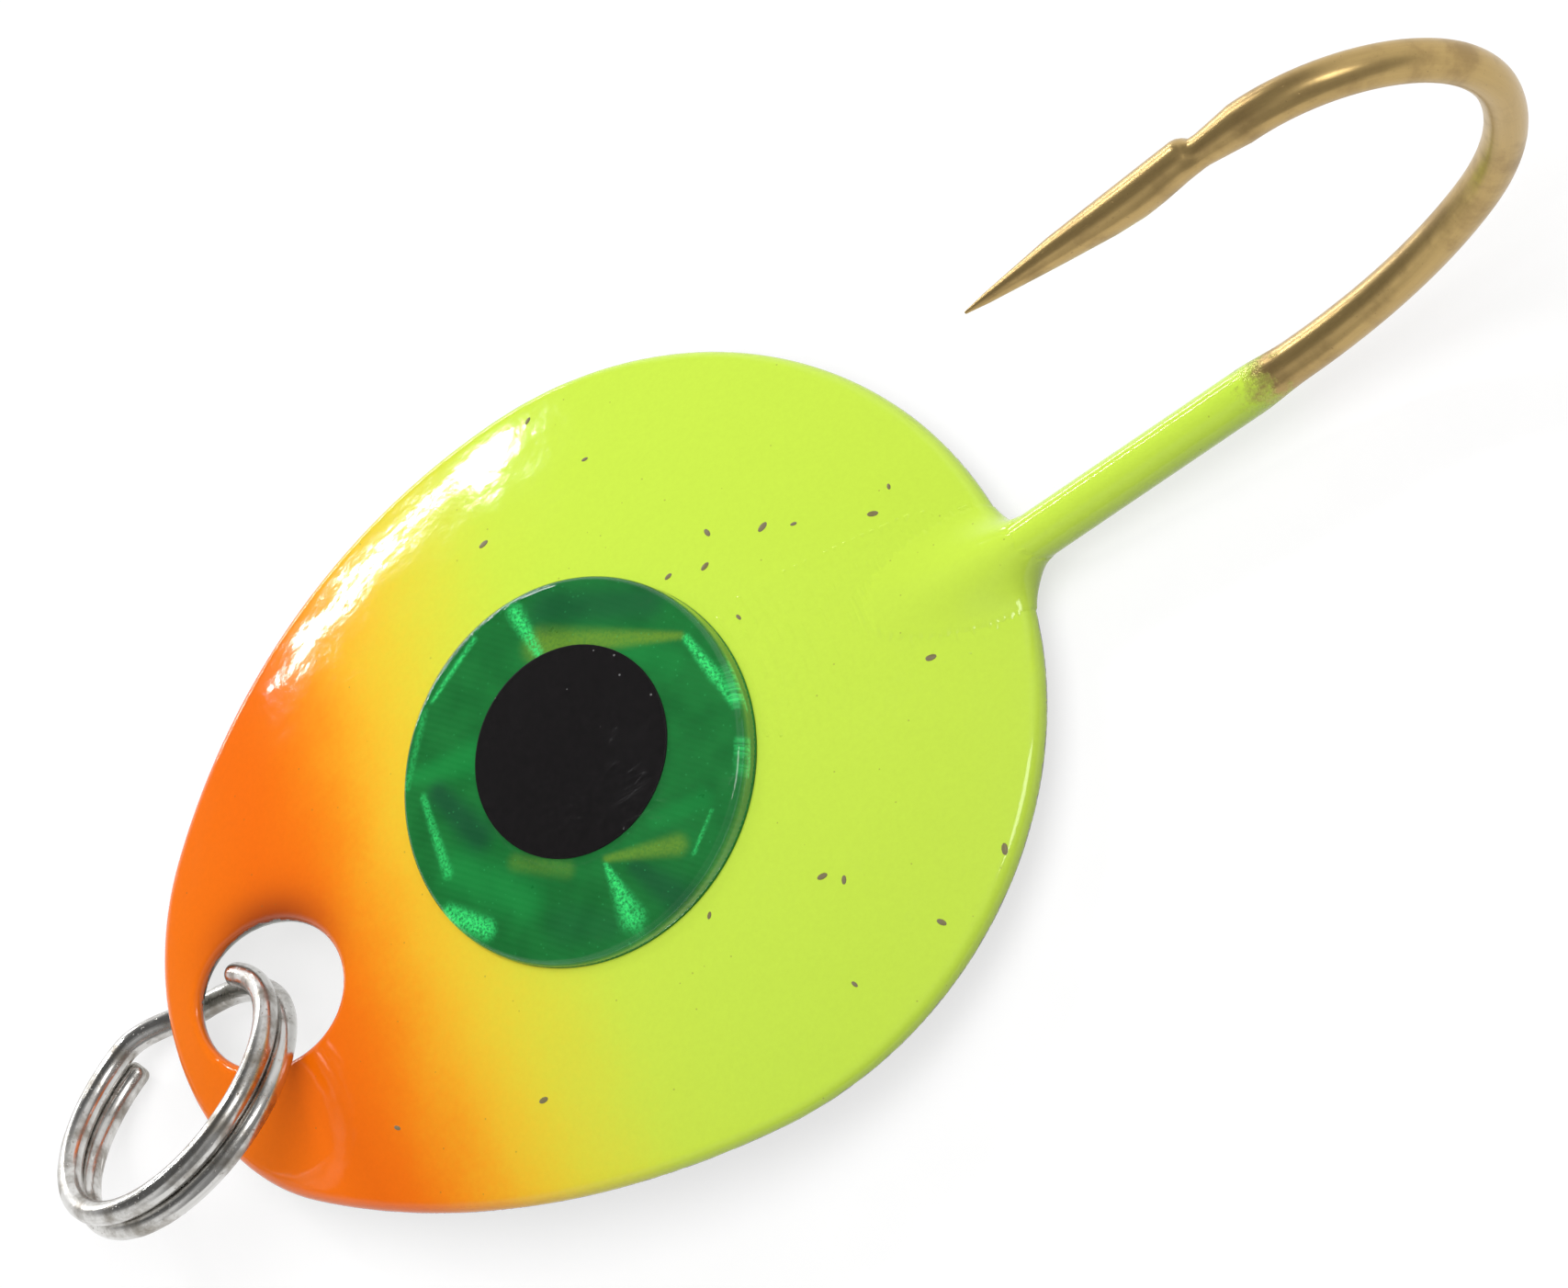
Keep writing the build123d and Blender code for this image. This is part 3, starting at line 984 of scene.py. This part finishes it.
class LURE_OT_hook(bpy.types.Operator):
    """Bend the hook's wire and give it its neck, barb and point"""

    bl_idname = "lure.hook"
    bl_label = "Hook"

    def execute(self, context):
        scene = context.scene
        blade, hook = mm(scene.lure_blade), mm(scene.lure_hook)
        start, run, _ = shank_line(blade, hook)
        turn = atan2(run[1], run[0])
        place = start.copy()
        path, lengths = [place.copy()], [0.0]

        def go_on(reach, bend):
            """Goes on along the wire, turning by the whole bend over this reach."""
            nonlocal place, turn
            steps = max(2, int(reach / 0.07))
            for _ in range(steps):
                turn += bend / steps / 2
                place = place + reach / steps * np.array((cos(turn), sin(turn)))
                turn += bend / steps / 2
                path.append(place.copy())
                lengths.append(lengths[-1] + reach / steps)

        blunt = 0.12  # rounding of the wire's hidden end
        go_on(blunt, 0.0)
        go_on(hook["shank_in"] + hook["shank_out"] - blunt, 0.0)
        for radius, bend in ((7.90, 28.9), (4.08, 38.7), (2.58, 21.6), (2.13, 91.5)):  # mm and degrees
            go_on(radius * radians(bend), radians(bend))
        spear_from = lengths[-1]
        go_on(hook["spear"], 0.0)
        path, along = np.array(path), np.array(lengths)
        radius = hook["wire"] / 2
        coat = hook["paint_film"] / radius
        painted = 1 - ramp(along, hook["paint_end"] - 0.3, hook["paint_end"] + 0.5)
        share = 1 + coat * painted * ramp(along, 0.0, 1.0)
        end = 0.4 + 0.6 * np.sqrt(np.clip(1 - (1 - along / blunt) ** 2, 0, 1))
        share = np.where(along < blunt, share * end, share)
        points = to_frame(np.stack([path[:, 0], np.zeros(len(path)), path[:, 1]], 1))
        finish, dull = scene.lure_finish, shade(122, 96, 62)
        material = painted_metal(
            "Hook Plating", finish, finish.bronze, dull, 0.28, wire_place, 18.0, 0.42, soft=0.2, shine=0.8
        )
        piece = swept_wire("hook_wire", points, share, radius * MM, scene.lure_hook.sides, material)

        # the spear: a ground point, a barb that is cut on one side and swells on the other, and a neck
        flat = (vectors_of(piece, "position") - np.array(CROWN)) / MM
        here = vectors_of(piece, "wire_place")[:, 0] / MM
        spear_start = path[np.searchsorted(along, spear_from)]
        run_out = np.array((cos(turn), 0.0, sin(turn)))
        origin = np.array((spear_start[0], 0.0, spear_start[1]))
        reach = np.clip((flat - origin) @ run_out, 0, hook["spear"])
        axis = origin + reach[:, None] * run_out
        out = flat - axis
        size = np.linalg.norm(out, axis=1)
        cut_side = np.array((0.0, 0.886, 0.463))  # the barb's side, across the wire
        lean = np.clip((out @ cut_side) / np.maximum(size, 1e-9), -1, 1) * 0.5 + 0.5
        left = hook["spear"] - reach
        # radius at places from the point back, on the cut side and on the side that swells
        cut = (
            (0, 0.35, 1.5, 2.7, 3.62, 3.72, 3.80, 3.95, 4.52),
            (0.018, 0.07, 0.195, 0.262, 0.312, 0.290, 0.212, 0.212, 0.28),
        )
        swell = (
            (0, 0.35, 1.5, 2.3, 2.77, 3.1, 3.55, 3.85, 4.52),
            (0.018, 0.07, 0.195, 0.272, 0.292, 0.272, 0.225, 0.208, 0.28),
        )
        wanted = np.interp(left, *cut) * lean + np.interp(left, *swell) * (1 - lean)
        on_spear = here > spear_from + 0.005
        grown = axis + out / np.maximum(size, 1e-9)[:, None] * wanted[:, None]
        flat = np.where((on_spear & (size > 1e-6))[:, None], grown, flat)
        piece.data.vertices.foreach_set("co", to_frame(flat).astype(np.float32).ravel())
        paint = np.clip(0.5 + (hook["paint_end"] - here) * 0.55, 0, 1)
        give_values(piece.data, {"paint": paint, "painted_hole_shade": np.zeros(len(here))})
        piece.data.update()
        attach(piece, "lure")
        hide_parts("hook")
        return {"FINISHED"}


class LURE_OT_eye(bpy.types.Operator):
    """Stick on the eye: foil, black disc and clear cover"""

    bl_idname = "lure.eye"
    bl_label = "Eye"

    def execute(self, context):
        scene = context.scene
        eye, dome = mm(scene.lure_eye), scene.lure_blade.dome / MM
        ahead = EYE_AHEAD / MM

        def on_dome(x, y, lift):
            return np.sqrt((dome + lift) ** 2 - x * x - y * y) - dome

        def disc(rings, around, lift, x0, y0, under, top=None):
            """A closed disc; top gives its height at a radius, or else it follows the dome."""
            turn = np.arange(around) * 2 * pi / around
            points, faces = [], []
            ring_of = []
            for radius in rings:
                x, y = x0 + radius * np.cos(turn), y0 + radius * np.sin(turn)
                z = on_dome(x, y, lift) if top is None else np.full(around, top(radius))
                ring_of.append(len(points))
                points += list(zip(x, y, z))
            step = [(n, (n + 1) % around) for n in range(around)]
            for a, b in zip(ring_of, ring_of[1:]):
                faces += [(a + n, b + n, b + m, a + m) for n, m in step]
            centre = len(points)
            points.append((x0, y0, float(on_dome(x0, y0, lift) if top is None else top(0.0))))
            faces += [(centre, ring_of[0] + n, ring_of[0] + m) for n, m in step]
            last = ring_of[-1]
            for radius in (rings[-1], rings[-1] * 0.5):
                x, y = x0 + radius * np.cos(turn), y0 + radius * np.sin(turn)
                first = len(points)
                points += list(zip(x, y, on_dome(x, y, under)))
                faces += [(last + n, first + n, first + m, last + m) for n, m in step]
                last = first
            middle = len(points)
            points.append((x0, y0, float(on_dome(x0, y0, under))))
            faces += [(last + n, middle, last + m) for n, m in step]
            return np.array(points, float), faces

        # foil: facets as soft streaks, each from one place to another in millimetres from the eye's middle,
        # with its half width at both ends and its strength
        facets = {
            "glint": (
                (0.05, 2.33, 0.18, 1.62, 0.11, 0.07, 0.85), (2.05, 0.76, 2.22, 0.10, 0.05, 0.08, 0.90),
                (2.22, 0.10, 2.30, -0.45, 0.07, 0.03, 0.75), (2.16, -0.80, 2.00, -1.20, 0.04, 0.04, 0.70),
                (-0.04, -1.38, -0.02, -2.15, 0.03, 0.17, 0.90), (-2.02, 0.80, -2.10, -0.28, 0.05, 0.08, 0.62),
                (-2.30, -0.76, -1.90, -1.22, 0.12, 0.13, 1.00), (-0.60, 2.31, -1.44, 1.88, 0.04, 0.03, 0.75),
                (-1.60, 1.80, -2.20, 1.05, 0.05, 0.05, 0.35), (1.51, -1.46, 1.05, -1.86, 0.02, 0.02, 0.55),
            ),
            "yellow": (
                (0.22, 1.72, 2.00, 0.82, 0.22, 0.05, 0.72), (0.0, -1.32, 0.92, -1.64, 0.05, 0.14, 0.62),
                (-1.15, -0.70, -0.55, -1.16, 0.12, 0.12, 0.30),
            ),
            "pale": (
                (-2.00, 1.10, -1.15, 0.85, 0.12, 0.26, 0.55), (-1.95, -0.35, -1.25, -1.20, 0.32, 0.30, 0.50),
                (0.80, -1.22, 1.45, -1.30, 0.13, 0.16, 0.40), (1.30, 1.05, 1.75, 0.55, 0.22, 0.22, 0.30),
            ),
            "deep": (
                (0.45, 2.15, 1.75, 1.45, 0.28, 0.24, 0.55), (-1.80, 0.72, -1.50, -0.10, 0.17, 0.24, 0.75),
                (0.30, -1.62, 0.60, -2.15, 0.12, 0.24, 0.60), (0.33, 2.20, 0.36, 1.75, 0.08, 0.06, 0.45),
                (-0.9, -1.75, -0.35, -2.1, 0.28, 0.22, 0.30),
            ),
        }
        rings = np.concatenate([np.linspace(0.2, 1.1, 6), np.linspace(1.14, eye["round"], 54)])
        points, faces = disc(rings, 300, eye["film"], ahead, 0.0, 0.0015)
        x, y = points[:, 0] - ahead, points[:, 1]
        values = {}
        for kind, streaks in facets.items():
            total = np.zeros(len(points))
            for x0, y0, x1, y1, wide0, wide1, strength in streaks:
                run = np.array((x1 - x0, y1 - y0))
                part = np.clip(((x - x0) * run[0] + (y - y0) * run[1]) / (run @ run), 0, 1)
                half = wide0 + (wide1 - wide0) * part
                away = np.hypot(x - x0 - part * run[0], y - y0 - part * run[1]) / half
                total = np.maximum(total, strength * (1 - ramp(away, 0.15, 1.55)))
            values[kind] = total
        film = new_piece("eye_foil_disc", to_frame(points), faces, green_foil(scene.lure_finish), values)
        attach(film, "lure")
        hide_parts("eye_film")

        rings = np.concatenate([np.linspace(0.15, eye["pupil"] - 0.02, 14), [eye["pupil"]]])
        x0, y0 = ahead + eye["pupil_ahead"], eye["pupil_aside"]
        points, faces = disc(rings, 180, eye["film"] + eye["pupil_sheet"], x0, y0, eye["film"])
        pupil = new_piece("eye_pupil_disc", to_frame(points), faces, eye_black(scene.lure_finish))
        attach(pupil, "lure")
        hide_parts("eye_pupil")

        # cover: a flat dome with a rounded shoulder, a hair above the film
        above_film = 0.0006
        summit = eye["film"] + eye["cover"]
        cover_dome, shoulder, edge = eye["cover_dome"], eye["cover_round"], eye["round"]
        ball = edge - shoulder
        ball_drop = sqrt((cover_dome - shoulder) ** 2 - ball**2)
        lean = np.arcsin(ball / (cover_dome - shoulder))
        middle = summit - cover_dome
        heights = {0.0: summit}
        for radius in np.linspace(0.12, cover_dome * sin(lean), 26):
            heights[radius] = middle + sqrt(cover_dome**2 - radius**2)
        for n in range(1, 9):
            tilt = lean + (pi / 2 - lean) * n / 8
            heights[ball + shoulder * sin(tilt)] = middle + ball_drop + shoulder * cos(tilt)
        rings = list(heights)[1:]
        points, faces = disc(rings, 220, 0.0, ahead, 0.0, eye["film"] + above_film, top=heights.get)
        cover = new_piece("eye_cover", to_frame(points), faces, clear_cover())
        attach(cover, "lure")
        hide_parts("eye_dome")
        return {"FINISHED"}


class LURE_OT_ring(bpy.types.Operator):
    """Wind the split ring through the line hole"""

    bl_idname = "lure.ring"
    bl_label = "Split ring"

    def execute(self, context):
        scene = context.scene
        ring = mm(scene.lure_ring)
        centre = np.array(frame["joints"][0]["pos_m"], float)
        # the ring's plane, and the direction in it from which the wire's turns are counted
        normal = Vector((-0.135, 0.527, 0.845)).normalized()
        first = Vector((0.874, 0.462, -0.149))
        first = (first - first.dot(normal) * normal).normalized()
        second = normal.cross(first)
        level = (ring["wire"] + ring["coil_gap"]) / 2
        # one wire: the lower turn, the step, then the upper turn
        closer = np.array((0.0, 0.25, 0.7, 1.4, 2.4, 3.6))  # degrees from an end, where the points lie closer
        turned = np.concatenate([88.0 + closer, np.arange(93.5, 735.0, 2.5), 740.1 - closer[::-1]])
        rise = level * (2 * ramp(turned, 410.0, 448.0) - 1)
        a = np.radians(turned)
        flat = ring["middle"] * (np.cos(a)[:, None] * np.array(first) + np.sin(a)[:, None] * np.array(second))
        points = centre + (flat + rise[:, None] * np.array(normal)) * MM
        along = np.concatenate([[0], np.cumsum(np.linalg.norm(np.diff(points, axis=0), axis=1))]) / MM
        cut_round = 0.11
        share = end_round(along, along[-1], cut_round)
        radius, sides = ring["wire"] / 2 * MM, scene.lure_ring.sides
        material = spring_steel(scene.lure_finish)
        piece = swept_wire("split_ring_wire", points, share, radius, sides, material)
        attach(piece, "ring")
        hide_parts("split_ring")
        return {"FINISHED"}


class LURE_OT_flecks(bpy.types.Operator):
    """Scatter the small dark chips over the painted face"""

    bl_idname = "lure.flecks"
    bl_label = "Paint chips"

    def execute(self, context):
        scene = context.scene
        fleck = scene.lure_flecks
        holder = place_in_scene("fleck_ground", bpy.data.objects["blade_sheet"].data.copy())
        tree, given, out = new_group(
            "Scattered Chips",
            {
                "Geometry": ("NodeSocketGeometry", None),
                "Chip Length": (FLOAT, 0.0001),
                "Chip Height": (FLOAT, 0.00001),
                "Density": (FLOAT, 100000.0),
                "Seed": ("NodeSocketInt", 1),
                "Finish": ("NodeSocketMaterial", None),
            },
            {"Geometry": "NodeSocketGeometry"},
            "GeometryNodeTree",
        )
        tree.is_modifier = True
        here = add(tree, "GeometryNodeInputPosition").outputs[0]
        spot = parts_of(tree, vector(tree, "SUBTRACT", here, tuple(CROWN)))
        facing = parts_of(tree, add(tree, "GeometryNodeInputNormal").outputs[0])[2]
        # the chips lie on the painted face, clear of the eye and of the joint, and mostly on the wide end
        ahead = calc(tree, "SUBTRACT", spot[0], EYE_AHEAD)
        flat = add(tree, "ShaderNodeCombineXYZ", {0: ahead, 1: spot[1]}).outputs[0]
        from_eye = add(tree, "ShaderNodeVectorMath", {0: flat}, operation="LENGTH").outputs["Value"]
        clear_of_eye = calc(tree, "GREATER_THAN", from_eye, scene.lure_eye.round + 0.00012)
        beside = times(tree, clear_of_eye, calc(tree, "GREATER_THAN", facing, 0.8))
        sockets = {0: spot[0], 1: -0.004, 2: 0.003, 3: 0.12, 4: 1.0}
        crowded = add(tree, "ShaderNodeMapRange", sockets).outputs[0]
        chosen = times(tree, times(tree, beside, crowded), calc(tree, "LESS_THAN", spot[0], 0.0058))
        density = times(tree, given["Density"], chosen)
        sockets = {"Mesh": given["Geometry"], "Density": density, "Seed": given["Seed"]}
        scattered = add(tree, "GeometryNodeDistributePointsOnFaces", sockets, distribute_method="RANDOM")

        def drawn(least, most, seed):
            sockets = {2: least, 3: most, "Seed": seed}
            return add(tree, "FunctionNodeRandomValue", sockets, data_type="FLOAT").outputs[1]

        spun = {"Axis": (0, 0, 1), "Angle": drawn(0.0, 6.28, 3)}
        turned = add(tree, "FunctionNodeAxisAngleToRotation", spun).outputs[0]
        sockets = {0: scattered.outputs["Rotation"], 1: turned}
        lying = add(tree, "FunctionNodeRotateRotation", sockets, rotation_space="LOCAL").outputs[0]
        sizes = drawn(0.65, 1.25, 5)
        chip = add(tree, "GeometryNodeMeshIcoSphere", {"Radius": 0.5, "Subdivisions": 2})
        scale = add(
            tree, "ShaderNodeCombineXYZ",
            {
                0: times(tree, sizes, given["Chip Length"]),
                1: times(tree, sizes, times(tree, given["Chip Length"], 0.52)),
                2: times(tree, given["Chip Height"], 2.0),
            },
        ).outputs[0]
        spots = scattered.outputs["Points"]
        sockets = {"Points": spots, "Instance": chip.outputs[0], "Rotation": lying, "Scale": scale}
        placed = add(tree, "GeometryNodeInstanceOnPoints", sockets).outputs[0]
        real = add(tree, "GeometryNodeRealizeInstances", {"Geometry": placed}).outputs[0]
        coated = add(tree, "GeometryNodeSetMaterial", {"Geometry": real, "Material": given["Finish"]})
        tree.links.new(coated.outputs[0], out["Geometry"])
        wanted = {
            "Chip Length": fleck.long, "Chip Height": fleck.thick, "Density": fleck.crowd * 1e4,
            "Seed": fleck.seed, "Finish": chip_brown(scene.lure_finish),
        }
        piece = nodes_result(holder, tree, wanted, "paint_chips")
        if not piece.data.polygons:
            raise RuntimeError("no chip was scattered; raise the density or change the seed")
        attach(piece, "lure")
        return {"FINISHED"}


class LURE_OT_stage(bpy.types.Operator):
    """Set the pale floor, the soft lights and the camera"""

    bl_idname = "lure.stage"
    bl_label = "Stage"

    def execute(self, context):
        scene = context.scene
        stage = scene.lure_stage
        low, high = CAD_BOX

        # floor
        made, tree, shader, end = new_material("Pale Floor")
        here = add(tree, "ShaderNodeTexCoord").outputs["Object"]
        grain = noise(tree, here, 900.0, 3.0, 0.6)
        tone = mix(tree, grain, shade(160, 160, 160), shade(166, 166, 166))
        plug(tree, shader, Base_Color=tone, Roughness=0.9, Specular_IOR_Level=0.1)
        path = add(tree, "ShaderNodeLightPath").outputs
        seen = calc(tree, "MAXIMUM", seen_straight(tree, path), path["Is Glossy Ray"])
        sockets = {"Color": (1.0, 1.0, 1.0, 1.0), "Strength": times(tree, seen, 0.66)}
        glow = add(tree, "ShaderNodeEmission", sockets)
        both = add(tree, "ShaderNodeAddShader", {0: shader.outputs[0], 1: glow.outputs[0]})
        tree.links.new(both.outputs[0], end.inputs[0])
        half, sunk = 4.0, 0.00002
        mesh = bpy.data.meshes.new("floor")
        corners = [(-half, -half, 0), (half, -half, 0), (half, half, 0), (-half, half, 0)]
        mesh.from_pydata(corners, [], [(0, 1, 2, 3)])
        mesh.transform(Matrix.Translation((0, 0, low[2] - sunk)))
        mesh.materials.append(made)
        place_in_scene("floor", mesh)

        # room: white to the eye, and darker where the flat paint mirrors it and on the shaded side
        world = bpy.data.worlds.new("Room")
        scene.world = world
        world.use_nodes = True
        tree = world.node_tree
        tree.nodes.clear()
        way = add(tree, "ShaderNodeTexCoord").outputs["Generated"]
        mirrored_way = dot(tree, way, (-0.36, 0.42, 0.83))
        shaded_way = dot(tree, way, (0.45, -0.89, 0.1))
        level = spread(tree, mirrored_way, 0.45, 0.80, 1.0, 0.14)
        level = times(tree, level, spread(tree, shaded_way, 0.1, 0.8, 1.0, 0.35))
        path = add(tree, "ShaderNodeLightPath").outputs
        seen = seen_straight(tree, path)
        strength = add(tree, "ShaderNodeMix", {0: seen, 2: times(tree, level, stage.room), 3: 1.0}).outputs[0]
        sky = add(tree, "ShaderNodeBackground", {"Color": (1.0, 1.0, 1.0, 1.0), "Strength": strength})
        add(tree, "ShaderNodeOutputWorld", {0: sky.outputs[0]})

        # lamps, aimed at the lure
        middle = Vector(((low[0] + high[0]) / 2, 0.0, low[2]))

        def lamp(name, aim, away, wide, tall, watts, along=None, mirrored=True, lit=True):
            data = bpy.data.lights.new(name, "AREA")
            data.shape, data.size, data.size_y = "RECTANGLE", wide, tall
            data.energy = watts
            made = place_in_scene(name, data)
            back = Vector(aim).normalized()
            side = Vector(along) if along else Vector((0, 0, 1)).cross(back)
            side = (side - side.dot(back) * back).normalized()
            turn = Matrix((side, back.cross(side), back)).transposed().to_4x4()
            made.matrix_world = Matrix.Translation(middle + back * away) @ turn
            made.visible_camera = False
            made.visible_glossy = mirrored
            made.visible_diffuse = lit

        sill = (0.363, 0.134, 0.105)
        lamp("window", (-0.423, 0.790, 0.443), 1.6, 0.66, 0.034, stage.window, along=sill)
        lamp("window end", (-0.285, 0.827, 0.485), 1.6, 0.11, 0.10, stage.window * 0.4, along=sill)
        lamp("low window", (-0.46, 0.87, 0.0), 1.6, 0.9, 0.18, stage.window * 2.4, lit=False)
        lamp("lamp over the hook", (0.59, -0.16, 0.75), 1.6, 0.42, 0.56, stage.window * 1.2, lit=False)
        lamp("side", (-0.45, 0.85, 0.20), 1.7, 1.3, 0.34, stage.side, mirrored=False)
        lamp("overhead", (0.05, 0.1, 0.99), 1.8, 1.8, 1.8, stage.overhead, mirrored=False)

        # camera: a long lens that looks against back, with right and above across its view
        right = Vector((0.7839, -0.3427, -0.5177))
        above = Vector((0.5027, 0.8398, 0.2051))
        back = right.cross(above).normalized()
        above = back.cross(right).normalized()
        right.normalize()
        data = bpy.data.cameras.new("camera")
        sensor = 36.0
        data.sensor_width = sensor
        data.lens = sensor * stage.distance / stage.frame_wide
        data.clip_start, data.clip_end = 0.05, 20.0
        camera = place_in_scene("camera", data)
        seen_middle = CROWN + Vector((3.52, 0.54, -1.27)) * MM
        turn = Matrix((right, above, back)).transposed().to_4x4()
        camera.matrix_world = Matrix.Translation(seen_middle + back * stage.distance) @ turn
        scene.camera = camera
        scene.view_settings.view_transform = "Standard"
        return {"FINISHED"}


class LURE_PT_build(bpy.types.Panel):
    """Sizes, colours and one button for each piece"""

    bl_idname = "LURE_PT_build"
    bl_label = "Spoon Lure"
    bl_space_type = "VIEW_3D"
    bl_region_type = "UI"
    bl_category = "Spoon Lure"

    def draw(self, context):
        for operator, group in STEPS:
            box = self.layout.box()
            box.operator(operator.bl_idname)
            if group:
                for key in getattr(context.scene, group).bl_rna.properties.keys():
                    if key not in ("rna_type", "name"):
                        box.prop(getattr(context.scene, group), key)


STEPS = (
    (LURE_OT_blade, "lure_blade"),
    (LURE_OT_joint, "lure_joint"),
    (LURE_OT_hook, "lure_hook"),
    (LURE_OT_eye, "lure_eye"),
    (LURE_OT_ring, "lure_ring"),
    (LURE_OT_flecks, "lure_flecks"),
    (LURE_OT_stage, "lure_stage"),
)
GROUPS = {
    "lure_blade": BladeSizes,
    "lure_hook": HookSizes,
    "lure_joint": JointSizes,
    "lure_eye": EyeSizes,
    "lure_ring": RingSizes,
    "lure_flecks": FleckSizes,
    "lure_finish": Finish,
    "lure_stage": StageSettings,
}


def register():
    for key, group in GROUPS.items():
        bpy.utils.register_class(group)
        setattr(bpy.types.Scene, key, PointerProperty(type=group))
    for operator, _ in STEPS:
        bpy.utils.register_class(operator)
    bpy.utils.register_class(LURE_PT_build)


def unregister():
    bpy.utils.unregister_class(LURE_PT_build)
    for operator, _ in reversed(STEPS):
        bpy.utils.unregister_class(operator)
    for key, group in reversed(GROUPS.items()):
        delattr(bpy.types.Scene, key)
        bpy.utils.unregister_class(group)


def main():
    register()
    for operator, _ in STEPS:
        family, step = operator.bl_idname.split(".")
        getattr(getattr(bpy.ops, family), step)()


if __name__ == "__main__":
    main()
